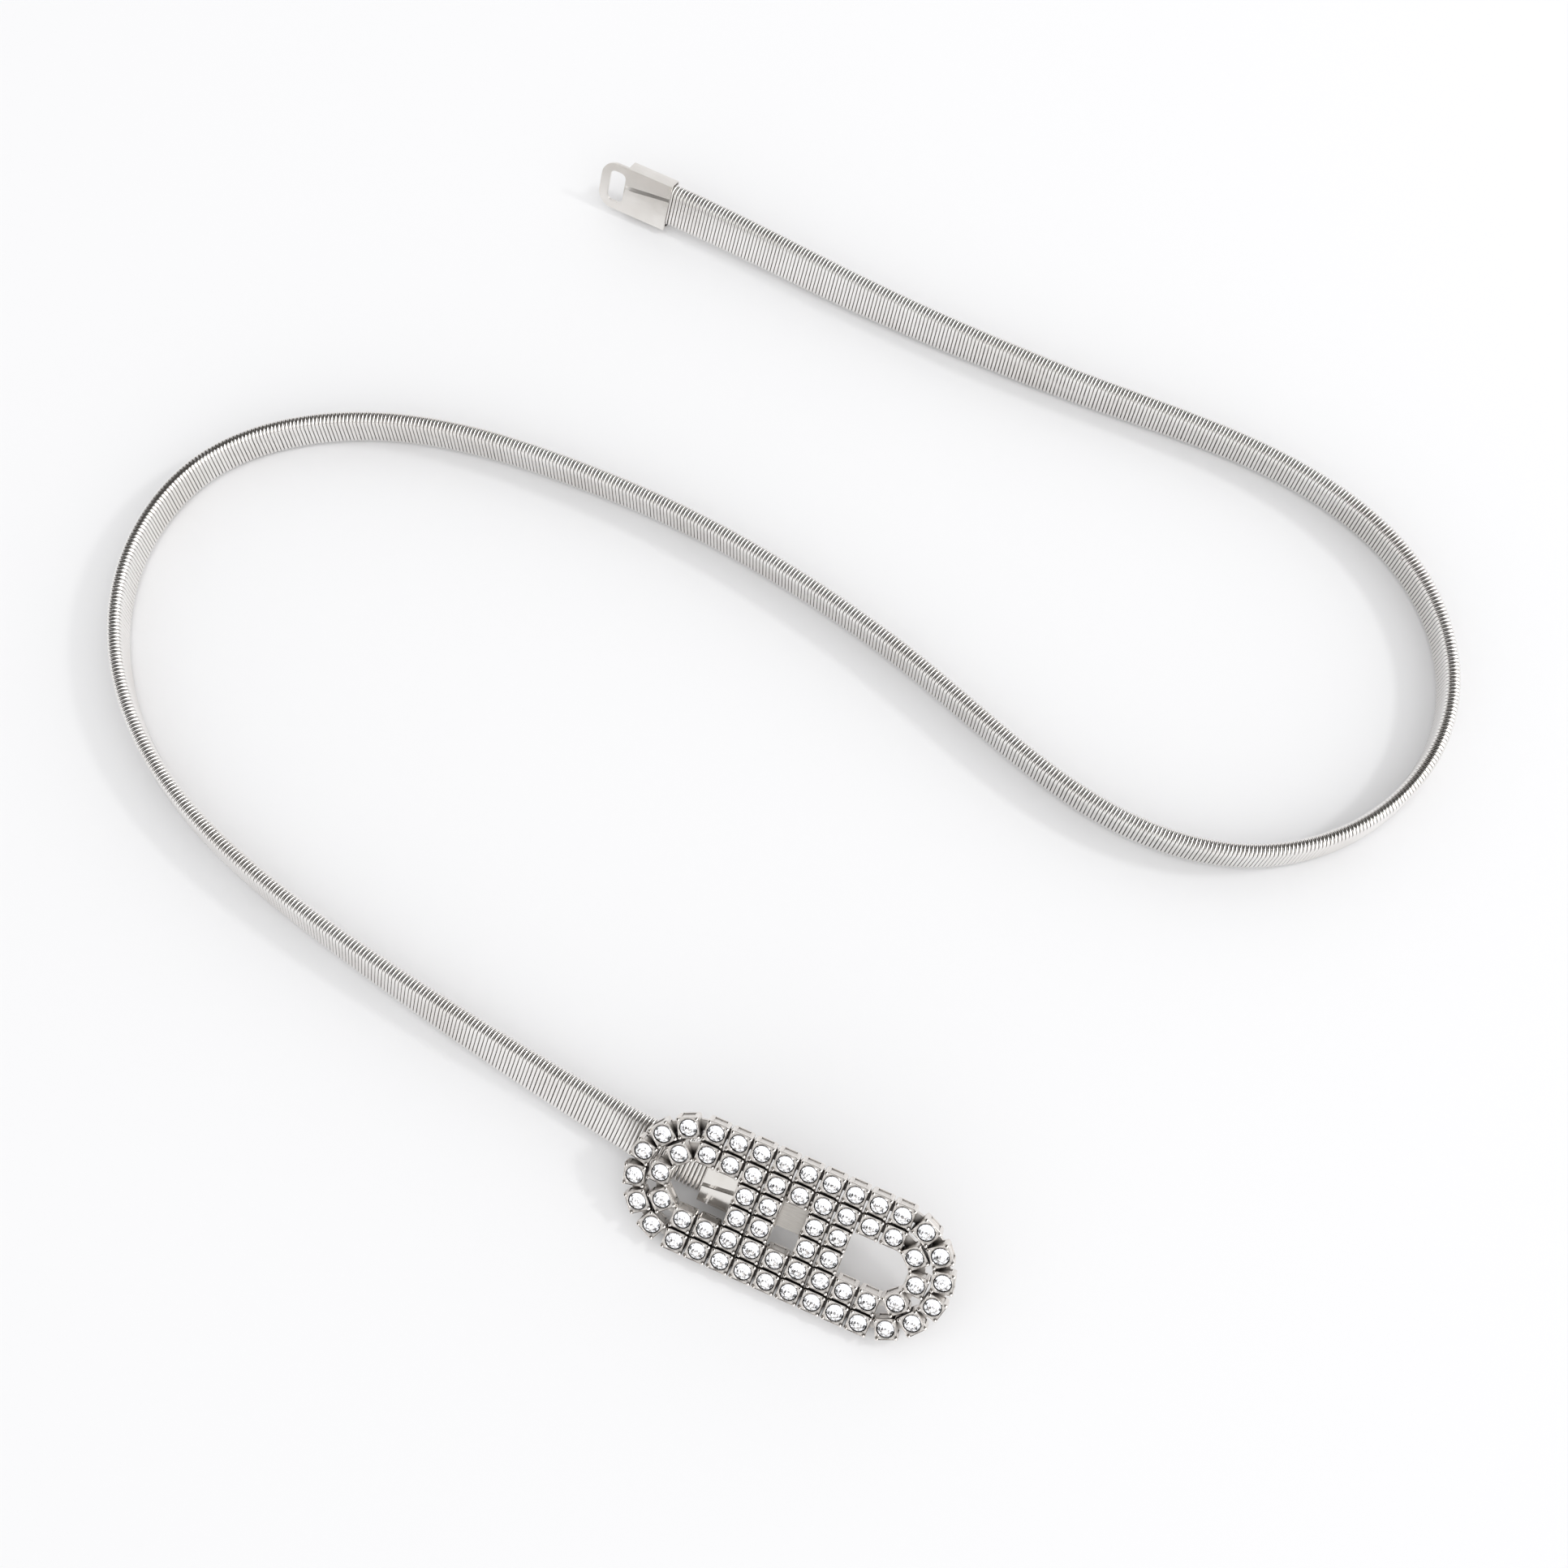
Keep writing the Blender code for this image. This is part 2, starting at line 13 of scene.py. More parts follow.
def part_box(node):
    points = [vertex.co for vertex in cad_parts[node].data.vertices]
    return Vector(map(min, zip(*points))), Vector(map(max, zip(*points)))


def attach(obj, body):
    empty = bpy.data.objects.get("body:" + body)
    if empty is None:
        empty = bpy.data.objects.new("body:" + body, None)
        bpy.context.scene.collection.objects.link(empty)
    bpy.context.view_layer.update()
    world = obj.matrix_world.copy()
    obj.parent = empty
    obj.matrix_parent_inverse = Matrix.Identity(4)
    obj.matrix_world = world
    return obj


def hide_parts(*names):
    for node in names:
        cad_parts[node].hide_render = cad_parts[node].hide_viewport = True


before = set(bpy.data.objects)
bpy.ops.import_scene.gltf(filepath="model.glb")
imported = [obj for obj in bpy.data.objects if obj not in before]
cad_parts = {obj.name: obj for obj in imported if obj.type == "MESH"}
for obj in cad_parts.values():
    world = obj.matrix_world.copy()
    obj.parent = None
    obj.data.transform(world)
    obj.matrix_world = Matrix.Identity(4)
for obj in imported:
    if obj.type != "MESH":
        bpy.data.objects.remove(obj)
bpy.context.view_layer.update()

# Strap and the wire that it is wound from
STRAP_WIDTH = 0.0080
STRAP_THICKNESS = 0.0025
COIL_PITCH = 0.000642
WIRE_HALF_WIDTH = 0.000306
WIRE_HALF_DEPTH = 0.000270
WIRE_SQUARENESS = 2.0
WIRE_SIDES = 10
EDGE_POINTS = 9
FACE_POINTS = 3
COIL_PIECES = 4
TURN_UNEVENNESS = 0.000007
UNEVENNESS_SEED = 7
ROUTE_SAMPLES = 6000

# Route of the strap's lower edge, as the frame has it: x, y, lean of the upper edge
# to the left in degrees, and the share of the nearer end's lift off the surface
ROUTE = (
    (-0.0898, 0.1521, 28.0, 1.00),
    (-0.0788, 0.1515, 26.0, 0.85),
    (-0.0550, 0.1497, 19.0, 0.30),
    (-0.0319, 0.1488, 11.0, 0.00),
    (-0.0094, 0.1488, 6.0, 0.00),
    (0.0130, 0.1494, 2.0, 0.00),
    (0.0346, 0.1471, 0.0, 0.00),
    (0.0539, 0.1375, 0.0, 0.00),
    (0.0649, 0.1183, 0.0, 0.00),
    (0.0607, 0.0972, 0.0, 0.00),
    (0.0447, 0.0829, 0.0, 0.00),
    (0.0235, 0.0796, 0.0, 0.00),
    (0.0037, 0.0838, 0.0, 0.00),
    (-0.0174, 0.0909, 0.0, 0.00),
    (-0.0385, 0.0962, 0.0, 0.00),
    (-0.0606, 0.0994, 0.0, 0.00),
    (-0.0830, 0.0999, -1.0, 0.00),
    (-0.1057, 0.0977, -1.0, 0.00),
    (-0.1260, 0.0903, -1.0, 0.00),
    (-0.1412, 0.0752, 0.0, 0.00),
    (-0.1436, 0.0539, 1.0, 0.00),
    (-0.1330, 0.0340, 2.0, 0.00),
    (-0.1143, 0.0207, 5.0, 0.00),
    (-0.0932, 0.0135, 9.0, 0.00),
    (-0.0722, 0.0087, 17.0, 0.05),
    (-0.0516, 0.0048, 28.0, 0.25),
    (-0.0310, 0.0016, 43.0, 0.65),
)
FREE_HEADING = math.radians(-2.7)

# Eye caps
SLEEVE_LENGTH = 0.0085
SLEEVE_WALL = 0.00025
SLEEVE_BACK_WALL = 0.00025
SLEEVE_END_WALL = 0.0005
SLEEVE_CORNER = 0.0009
STRAP_CLEARANCE = 0.0001
PLATE_THICKNESS = 0.0005
PLATE_OVERHANG = 0.00005
PLATE_TIP_CORNER = 0.0028
SLOT_SETBACK = 0.0001
SLOT_LENGTH = 0.0030
SLOT_HEIGHT = 0.0059
SLOT_CORNER = 0.0010
TIP_BAND = 0.0016
SLEEVE_CORNER_SEGMENTS = 6
PLATE_TIP_SEGMENTS = 14
SLOT_CORNER_SEGMENTS = 7
SHEET_EDGE_ROUND = 0.00007
SHEET_EDGE_SEGMENTS = 3
SHEET_EDGE_ANGLE = math.radians(40)
SHEET_CREASE_ANGLE = math.radians(8)
WEDGE_SKIM = 0.000001
FIT_GAP = 0.0003

# Lap seam of a cap's plate: x from the mouth, height, and how deep and how wide the
# lower flap dips where it goes under the upper one
LAP_SEAM = (
    (-0.00050, -0.00198, 0.00013, 0.00062),
    (0.00150, -0.00178, 0.00013, 0.00066),
    (0.00350, -0.00156, 0.00014, 0.00072),
    (0.00550, -0.00134, 0.00015, 0.00080),
    (0.00700, -0.00116, 0.00015, 0.00084),
    (0.00770, -0.00106, 0.00012, 0.00072),
    (0.00820, -0.00098, 0.00006, 0.00046),
    (0.00858, -0.00092, 0.00001, 0.00020),
)

# Buckle frame
PITCH = 0.00380
HALF_COLUMNS = 4
BAR_COLUMNS = (-2, -1, 1, 2)
OUTER_FAN = 6
INNER_FAN = 3
BUCKLE_TILT = math.radians(32.0)
CUP_SIDE = 0.00345
CUP_BASE = 0.0003
CUP_RIM = 0.0026
RAIL_WIDTH = 0.0016
RAIL_THICKNESS = 0.0008
BAR_INSET = 0.0001
CLIP_THICKNESS = 0.0008
CLIP_HALF_STRAIGHT = 0.0028
RAIL_ARC_SEGMENTS = 40

# Cup: its plan is a square with slightly rounded corners, with a point at each of these
# angles in every quarter turn
CUP_SQUARENESS = 12
CUP_ANGLES = (0, 9, 18, 27, 35, 40, 45, 50, 55, 63, 72, 81)
CUP_CREASE_ANGLE = math.radians(38)
# Wall and rim from the foot up: how far in from the cup's side, and height
CUP_WALL = (
    (0.00012, CUP_BASE),
    (0.0, CUP_BASE + 0.00010),
    (0.0, CUP_RIM - 0.00014),
    (0.000015, CUP_RIM - 0.000045),
    (0.00005, CUP_RIM),
    (0.00009, CUP_RIM - 0.00001),
    (0.00013, CUP_RIM - 0.00008),
)
# Bezel from the face inwards: how far out from the stone, and height
CUP_BEZEL = (
    (0.00028, CUP_RIM - 0.000085),
    (0.00025, CUP_RIM - 0.00002),
    (0.00021, CUP_RIM + 0.00001),
    (0.00017, CUP_RIM - 0.00002),
    (0.00014, CUP_RIM - 0.00012),
    (0.00011, CUP_RIM - 0.00055),
)
SEAT_SHARE = 0.50
SEAT_RISE = 0.00060
RIM_BAND = 2
FACE_BAND = len(CUP_WALL) - 1
CUP_PANEL_FROM = 0.0008
CUP_PANEL_TO = 0.0020
CUP_PANEL_MARGIN = 0.00028
CUP_PANEL_BEVEL = 0.00003
CUP_PANEL_DEPTH = 0.00016

# Stones and prongs
STONE_RADIUS = 0.00128
TABLE_RADIUS = 0.00068
FACET_FLAT_ANGLE = math.radians(0.5)
STONE_GIRDLE = 0.00240
CROWN_HEIGHT = 0.00052
PAVILION_DEPTH = 0.00105
STAR_RADIUS_SHARE = 0.80
STAR_HEIGHT_SHARE = 0.56
GIRDLE_HALF = 0.00003
PAVILION_RADIUS_SHARE = 0.60
PAVILION_DEPTH_SHARE = 0.48
FOIL_BELOW = -0.00005
STONE_ROCK = 1.6
STONE_SEED = 11
PRONG_RADIUS = 0.00028
PRONG_INSET = 0.00020
PRONG_SIDES = 9
# Prong from its foot up: height, share of its radius, and how far it leans inwards
PRONG_LEVELS = (
    (0.00110, 0.85, 0.0),
    (0.00230, 1.00, 0.0),
    (0.00262, 1.06, 0.00004),
    (0.00280, 1.02, 0.00009),
    (0.00292, 0.80, 0.00014),
    (0.00299, 0.42, 0.00017),
)

# Photograph: a square frame, its camera found from the strap's outline
CAMERA_FROM_BUCKLE = Vector((0.01447, -0.03665, 0.34903))
AIM_FROM_BUCKLE = Vector((-0.02947, 0.06489, 0.0))
FOCAL_PIXELS = 2766.0
PHOTO_PIXELS = 1932.0
CAMERA_ROLL = math.radians(0.27)
SENSOR = 36.0

# Light: a white sweep and tent, what the metal sees in the tent, and the lamp
SWEEP_SIZE = 40.0
TENT_STRENGTH = 0.98
CLOTH_STRENGTH = 1.0
PANEL_SIDE = (0.978, -0.208, 0.0)
PANEL_EDGE = (0.13, 0.38)
PANEL_STRENGTH = 1.9
CARD_SIDE = (0.241, -0.874, 0.423)
CARD_EDGE = (0.80, 0.92)
CARD_STRENGTH = 0.97
STONE_TENT_STRENGTH = 1.3
LAMP_AZIMUTH = math.radians(30)
LAMP_ELEVATION = math.radians(44)
LAMP_DISTANCE = 1.25
LAMP_SIZE = 0.15
LAMP_POWER = 1.9

# Tent colours over height, from the floor at 0 to overhead at 1
CLOTH_STOPS = ((0.0, "F4F4F4"), (0.17, "F0F0F0"), (0.25, "56534F"), (1.0, "454341"))
PANEL_STOPS = ((0.0, "4A4846"), (0.035, "4A4846"), (0.08, "FFFFFF"), (1.0, "FFFFFF"))
OPENING_STOPS = ((0.955, "FFFFFF"), (0.972, "242425"))

# Sizes that follow from the ones above
EDGE_RADIUS = STRAP_THICKNESS / 2
CORE_HALF = STRAP_WIDTH / 2 - EDGE_RADIUS
CAVITY_HALF_HEIGHT = STRAP_WIDTH / 2 + STRAP_CLEARANCE
CAVITY_HALF_DEPTH = STRAP_THICKNESS / 2 + STRAP_CLEARANCE
SLEEVE_HALF_HEIGHT = CAVITY_HALF_HEIGHT + SLEEVE_WALL
SLEEVE_BACK = CAVITY_HALF_DEPTH + SLEEVE_BACK_WALL
PLATE_BACK = CAVITY_HALF_DEPTH - PLATE_OVERHANG
PLATE_FRONT = PLATE_BACK + PLATE_THICKNESS
STRAP_GRIP = SLEEVE_LENGTH - SLEEVE_END_WALL - FIT_GAP
SLOT_START = SLEEVE_LENGTH + SLOT_SETBACK
SLOT_END = SLOT_START + SLOT_LENGTH
CAP_LENGTH = SLOT_END + TIP_BAND
OUTER_RADIUS = 2.5 * PITCH
INNER_RADIUS = 1.5 * PITCH
FRAME_HALF_LENGTH = HALF_COLUMNS * PITCH
FRAME_HALF_WIDTH = OUTER_RADIUS + CUP_SIDE / 2
CLASP_MOUTH = -CLIP_HALF_STRAIGHT - FIT_GAP - SLOT_END
CLASP_DEPTH = -FIT_GAP - CLIP_THICKNESS - FIT_GAP - PLATE_FRONT


def sleeve_rest_height(lean):
    """Height of a sleeve's middle above the surface when it lies leaning on it."""
    flat_height = SLEEVE_HALF_HEIGHT - SLEEVE_CORNER
    flat_depth = SLEEVE_BACK - SLEEVE_CORNER
    return flat_height * math.cos(lean) + flat_depth * math.sin(lean) + SLEEVE_CORNER


BUCKLE_HEIGHT = FRAME_HALF_WIDTH * math.sin(BUCKLE_TILT) - CUP_BASE * math.cos(BUCKLE_TILT)
CLASP_LEAN = math.pi / 2 - BUCKLE_TILT
CLASP_REST = sleeve_rest_height(CLASP_LEAN) + STRAP_CLEARANCE
CLASP_RISE = CLASP_REST - BUCKLE_HEIGHT - CLASP_DEPTH * math.cos(BUCKLE_TILT)
CLASP_OFFSET = CLASP_RISE / math.sin(BUCKLE_TILT)


def buckle_origin():
    """The point on the surface under the buckle's middle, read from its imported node."""
    low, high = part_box("stone_frame")
    reach = FRAME_HALF_WIDTH * math.cos(BUCKLE_TILT) - CUP_BASE * math.sin(BUCKLE_TILT)
    return Vector(((low.x + high.x) / 2, high.y - reach, 0.0))


ORIGIN = buckle_origin()
BUCKLE = (
    Matrix.Translation(ORIGIN + Vector((0, 0, BUCKLE_HEIGHT)))
    @ Matrix.Rotation(BUCKLE_TILT, 4, "X")
)


# Materials


def hex_colour(text):
    """An sRGB hex colour as Blender's linear colour with full alpha."""
    parts = [int(text[i:i + 2], 16) / 255 for i in (0, 2, 4)]
    return (*(p / 12.92 if p <= 0.04045 else ((p + 0.055) / 1.055) ** 2.4 for p in parts), 1.0)


def add_node(tree, kind, inputs=None, **settings):
    """Adds a node, sets its properties, and fills its inputs with values or sockets."""
    made = tree.nodes.new(kind)
    for name, value in settings.items():
        setattr(made, name, value)
    for name, value in (inputs or {}).items():
        if isinstance(value, bpy.types.NodeSocket):
            tree.links.new(value, made.inputs[name])
        else:
            made.inputs[name].default_value = value
    return made


def new_material(name):
    """A bare material, its node tree, and its Principled shader."""
    material = bpy.data.materials.new(name)
    material.use_nodes = True
    tree = material.node_tree
    return material, tree, tree.nodes["Principled BSDF"]


def ramp_between(tree, factor, stops):
    """A colour ramp through (position, hex) stops."""
    ramp = add_node(tree, "ShaderNodeValToRGB", {"Fac": factor})
    elements = ramp.color_ramp.elements
    while len(elements) < len(stops):
        elements.new(0.5)
    for element, (place, colour) in zip(elements, stops):
        element.position = place
        element.color = hex_colour(colour)
    return ramp


def spring_wire():
    """Nickel-plated hard-drawn steel wire: a bright mirror with faint drawing marks
    and a slightly warm, cloudy tone from one length to the next."""
    material, tree, shader = new_material("nickel_plated_drawn_wire")
    shader.inputs["Metallic"].default_value = 1.0
    place = add_node(tree, "ShaderNodeTexCoord").outputs["Object"]
    # Plating tone drifts over some 12 mm
    cloud = add_node(tree, "ShaderNodeTexNoise", {"Vector": place, "Scale": 80.0, "Detail": 2.0})
    tone = ramp_between(tree, cloud.outputs["Fac"], ((0.35, "F0EDEA"), (0.65, "F8F6F4")))
    # Painted shade: ambient occlusion darkens the grooves between the turns, multiplied into the
    # tone.
    # In the Mix node the inputs 6 and 7 and the output 2 are its colours
    shade_occlusion = add_node(tree, "ShaderNodeAmbientOcclusion", {"Distance": 0.0004}, samples=6)
    painted_groove_shade = ramp_between(tree, shade_occlusion.outputs["AO"], ((0.14, "35312E"), (0.50, "FFFFFF")))
    groove_shaded_tone = add_node(
        tree, "ShaderNodeMix",
        {0: 1.0, 6: tone.outputs["Color"], 7: painted_groove_shade.outputs["Color"]},
        data_type="RGBA", blend_type="MULTIPLY",
    )
    tree.links.new(groove_shaded_tone.outputs[2], shader.inputs["Base Color"])
    # Drawing marks are finer than this in life: grain 0.1 mm wide is the finest that shows
    marks = add_node(tree, "ShaderNodeTexNoise", {"Vector": place, "Scale": 9000.0, "Detail": 1.0})
    polish = add_node(
        tree, "ShaderNodeMapRange",
        {"Value": marks.outputs["Fac"], "To Min": 0.08, "To Max": 0.20},
    )
    tree.links.new(polish.outputs["Result"], shader.inputs["Roughness"])
    bump = add_node(
        tree, "ShaderNodeBump",
        {"Height": marks.outputs["Fac"], "Strength": 0.12, "Distance": 0.00002},
    )
    tree.links.new(bump.outputs["Normal"], shader.inputs["Normal"])
    return material


def pressed_sheet():
    """Bright-rolled steel sheet, pressed, tumbled and nickel plated: a soft mirror with
    rolling lines along the cap and a light orange-peel swell from the press."""
    material, tree, shader = new_material("tumbled_nickel_sheet")
    shader.inputs["Metallic"].default_value = 1.0
    place = add_node(tree, "ShaderNodeTexCoord").outputs["Object"]
    # Tumbling leaves the tone uneven every 4 mm
    stain = add_node(tree, "ShaderNodeTexNoise", {"Vector": place, "Scale": 260.0, "Detail": 3.0})
    tone = ramp_between(tree, stain.outputs["Fac"], ((0.3, "E4E0DB"), (0.7, "EEEBE7")))
    tree.links.new(tone.outputs["Color"], shader.inputs["Base Color"])
    # Rolling lines 0.12 mm apart, stretched twelve times along the cap
    lines = add_node(tree, "ShaderNodeMapping", {"Vector": place, "Scale": (0.08, 1.0, 1.0)})
    rolled = add_node(
        tree, "ShaderNodeTexNoise",
        {"Vector": lines.outputs["Vector"], "Scale": 8000.0, "Detail": 2.0},
    )
    polish = add_node(
        tree, "ShaderNodeMapRange",
        {"Value": rolled.outputs["Fac"], "To Min": 0.10, "To Max": 0.20},
    )
    tree.links.new(polish.outputs["Result"], shader.inputs["Roughness"])
    # The press leaves a swell every 1.4 mm
    swell = add_node(tree, "ShaderNodeTexNoise", {"Vector": place, "Scale": 700.0, "Detail": 1.0})
    fine = add_node(
        tree, "ShaderNodeBump",
        {"Height": rolled.outputs["Fac"], "Strength": 0.06, "Distance": 0.00002},
    )
    bump = add_node(
        tree, "ShaderNodeBump",
        {"Height": swell.outputs["Fac"], "Strength": 0.12, "Distance": 0.00004,
         "Normal": fine.outputs["Normal"]},
    )
    tree.links.new(bump.outputs["Normal"], shader.inputs["Normal"])
    return material


def plated_casting(name, low_gloss, high_gloss, painted_hollow_shade):
    """Zinc die casting, barrel polished and nickel plated: a mirror on its rims, satin
    on its flats, with painted shade darkening its hollows and the gaps between parts."""
    material, tree, shader = new_material(name)
    shader.inputs["Metallic"].default_value = 1.0
    place = add_node(tree, "ShaderNodeTexCoord").outputs["Object"]
    # Painted shade: ambient occlusion darkens the colour in hollows and gaps towards the given
    # hollow colour
    shade_occlusion = add_node(tree, "ShaderNodeAmbientOcclusion", {"Distance": 0.0014}, samples=8)
    tone = ramp_between(tree, shade_occlusion.outputs["AO"], ((0.22, painted_hollow_shade), (0.66, "ECE8E4")))
    tree.links.new(tone.outputs["Color"], shader.inputs["Base Color"])
    # Cast skin swells every 0.4 mm under the plating
    skin = add_node(tree, "ShaderNodeTexNoise", {"Vector": place, "Scale": 2400.0, "Detail": 2.0})
    polish = add_node(
        tree, "ShaderNodeMapRange",
        {"Value": skin.outputs["Fac"], "To Min": high_gloss, "To Max": low_gloss},
    )
    tree.links.new(polish.outputs["Result"], shader.inputs["Roughness"])
    bump = add_node(
        tree, "ShaderNodeBump",
        {"Height": skin.outputs["Fac"], "Strength": 0.22, "Distance": 0.00004},
    )
    tree.links.new(bump.outputs["Normal"], shader.inputs["Normal"])
    return material


def folded_strip():
    """Brushed steel strip, cut and folded, left plain behind the buckle: a dull grey
    with grain 0.1 mm wide along its length."""
    material, tree, shader = new_material("brushed_steel_strip")
    shader.inputs["Metallic"].default_value = 1.0
    place = add_node(tree, "ShaderNodeTexCoord").outputs["Object"]
    grain = add_node(tree, "ShaderNodeMapping", {"Vector": place, "Scale": (0.06, 1.0, 1.0)})
    brushed = add_node(
        tree, "ShaderNodeTexNoise",
        {"Vector": grain.outputs["Vector"], "Scale": 10000.0, "Detail": 3.0},
    )
    tone = ramp_between(tree, brushed.outputs["Fac"], ((0.3, "B9B4AE"), (0.7, "CFCBC6")))
    tree.links.new(tone.outputs["Color"], shader.inputs["Base Color"])
    polish = add_node(
        tree, "ShaderNodeMapRange",
        {"Value": brushed.outputs["Fac"], "To Min": 0.22, "To Max": 0.42},
    )
    tree.links.new(polish.outputs["Result"], shader.inputs["Roughness"])
    return material


def crystal():
    """Machine-cut lead crystal: clear, hard and polished, so that its facets break up
    whatever stands round it."""
    material, tree, shader = new_material("cut_lead_crystal")
    shader.inputs["Base Color"].default_value = hex_colour("FCFCFD")
    shader.inputs["Transmission Weight"].default_value = 1.0
    shader.inputs["IOR"].default_value = 1.56
    shader.inputs["Roughness"].default_value = 0.0
    return material


def foil():
    """Vacuum-coated silver on the stone's back facets: what throws the light back."""
    material, tree, shader = new_material("silver_foil_backing")
    shader.inputs["Base Color"].default_value = hex_colour("FAFAFB")
    shader.inputs["Metallic"].default_value = 1.0
    shader.inputs["Roughness"].default_value = 0.03
    return material


def white_sheet():
    """Matte coated paper sweep under the piece: even and almost white."""
    material, tree, shader = new_material("matte_white_sweep")
    shader.inputs["Base Color"].default_value = hex_colour("F6F6F7")
    shader.inputs["Roughness"].default_value = 0.9
    shader.inputs["Specular IOR Level"].default_value = 0.1
    return material


# Shapes


def new_piece(name, mesh, materials, node, matrix=Matrix.Identity(4)):
    """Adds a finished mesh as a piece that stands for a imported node, at its place."""
    piece = scratch_object(name, mesh)
    for material in materials:
        mesh.materials.append(material)
    piece.matrix_world = matrix
    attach(piece, "root")
    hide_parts(node)
    return piece


def mesh_from_grid(name, points):
    """A smooth tube of quads through rows of points that close on themselves, with both
    its ends filled."""
    rows, columns = points.shape[:2]
    mesh = bpy.data.meshes.new(name)
    index = np.arange(rows * columns).reshape(rows, columns)
    lower, upper = index[:-1], index[1:]
    faces = [lower, np.roll(lower, -1, axis=1), np.roll(upper, -1, axis=1), upper]
    quads = np.stack(faces, axis=-1).reshape(-1, 4)
    mesh.vertices.add(rows * columns)
    mesh.vertices.foreach_set("co", points.reshape(-1).astype(np.float32))
    mesh.loops.add(quads.size)
    mesh.loops.foreach_set("vertex_index", quads.reshape(-1).astype(np.int32))
    mesh.polygons.add(len(quads))
    mesh.polygons.foreach_set("loop_start", np.arange(0, quads.size, 4, dtype=np.int32))
    mesh.polygons.foreach_set("use_smooth", np.ones(len(quads), dtype=bool))
    mesh.update(calc_edges=True)
    close_ends(mesh)
    return mesh


def close_ends(mesh):
    """Fills a swept tube's two open ends."""
    shape = bmesh.new()
    shape.from_mesh(mesh)
    rim = [edge for edge in shape.edges if edge.is_boundary]
    bmesh.ops.holes_fill(shape, edges=rim, sides=0)
    bmesh.ops.recalc_face_normals(shape, faces=shape.faces)
    shape.to_mesh(mesh)
    shape.free()


def arc(centre_x, centre_y, radius, start, end, segments):
    """Points of an arc of a circle, both ends included, angles in degrees."""
    angles = [math.radians(start + (end - start) * i / segments) for i in range(segments + 1)]
    return [(centre_x + radius * math.cos(a), centre_y + radius * math.sin(a)) for a in angles]


def mesh_of(piece):
    """The evaluated mesh of an object, welded."""
    graph = bpy.context.evaluated_depsgraph_get()
    mesh = bpy.data.meshes.new_from_object(piece.evaluated_get(graph))
    shape = bmesh.new()
    shape.from_mesh(mesh)
    bmesh.ops.remove_doubles(shape, verts=shape.verts, dist=1e-6)
    shape.to_mesh(mesh)
    shape.free()
    return mesh


def scratch_object(name, data):
    """An object in the scene that holds some data."""
    made = bpy.data.objects.new(name, data)
    bpy.context.scene.collection.objects.link(made)
    return made


def flat_sheet(outlines, thickness):
    """The mesh of a flat sheet in XY about z = 0, from closed outlines of (x, y)."""
    curve = bpy.data.curves.new("sheet", "CURVE")
    curve.dimensions = "2D"
    curve.fill_mode = "BOTH"
    curve.extrude = thickness / 2
    for outline in outlines:
        spline = curve.splines.new("POLY")
        spline.points.add(len(outline) - 1)
        for point, (x, y) in zip(spline.points, outline):
            point.co = (x, y, 0.0, 1.0)
        spline.use_cyclic_u = True
    made = scratch_object("sheet", curve)
    mesh = mesh_of(made)
    bpy.data.objects.remove(made)
    return mesh


def block_mesh(low, high, rounded=0.0, pick=None):
    """A box mesh with its edges along X that pick accepts rounded off."""
    shape = bmesh.new()
    low, high = Vector(low), Vector(high)
    size = high - low
    bmesh.ops.create_cube(shape, size=1.0)
    bmesh.ops.scale(shape, vec=size, verts=shape.verts)
    bmesh.ops.translate(shape, vec=(low + high) / 2, verts=shape.verts)
    if rounded:
        edges = [
            edge for edge in shape.edges
            if abs(edge.verts[0].co.x - edge.verts[1].co.x) > size.x / 2
            and (pick is None or pick(edge.verts[0].co))
        ]
        bmesh.ops.bevel(
            shape, geom=edges, offset=rounded, segments=SLEEVE_CORNER_SEGMENTS,
            profile=0.5, affect="EDGES",
        )
    mesh = bpy.data.meshes.new("block")
    shape.to_mesh(mesh)
    shape.free()
    return mesh


def boolean(base, operation, *tools):
    """The mesh of base after exact Booleans with the tool meshes."""
    made = scratch_object("base", base)
    others = []
    for tool in tools:
        other = scratch_object("tool", tool)
        cut = made.modifiers.new("cut", "BOOLEAN")
        cut.operation = operation
        cut.solver = "EXACT"
        cut.object = other
        others.append(other)
    bpy.context.view_layer.update()
    mesh = mesh_of(made)
    for other in (made, *others):
        bpy.data.objects.remove(other)
    return mesh


# Strap


def clamped_spline(params, values, first_slope, last_slope, at):
    """Cubic curve through the values at params, with set slopes at both ends."""
    span = np.diff(params)
    last = len(params) - 1
    system = np.eye(last + 1)
    right = np.zeros(last + 1)
    right[0], right[last] = first_slope, last_slope
    for i in range(1, last):
        system[i, i - 1:i + 2] = (1 / span[i - 1], 2 / span[i - 1] + 2 / span[i], 1 / span[i])
        rise_in = (values[i] - values[i - 1]) / span[i - 1] ** 2
        rise_out = (values[i + 1] - values[i]) / span[i] ** 2
        right[i] = 3 * (rise_in + rise_out)
    slope = np.linalg.solve(system, right)
    k = np.clip(np.searchsorted(params, at) - 1, 0, last - 1)
    t = (at - params[k]) / span[k]
    start = (1 + 2 * t) * (1 - t) ** 2 * values[k] + t * (1 - t) ** 2 * span[k] * slope[k]
    return start + t ** 2 * (3 - 2 * t) * values[k + 1] - t ** 2 * (1 - t) * span[k] * slope[k + 1]


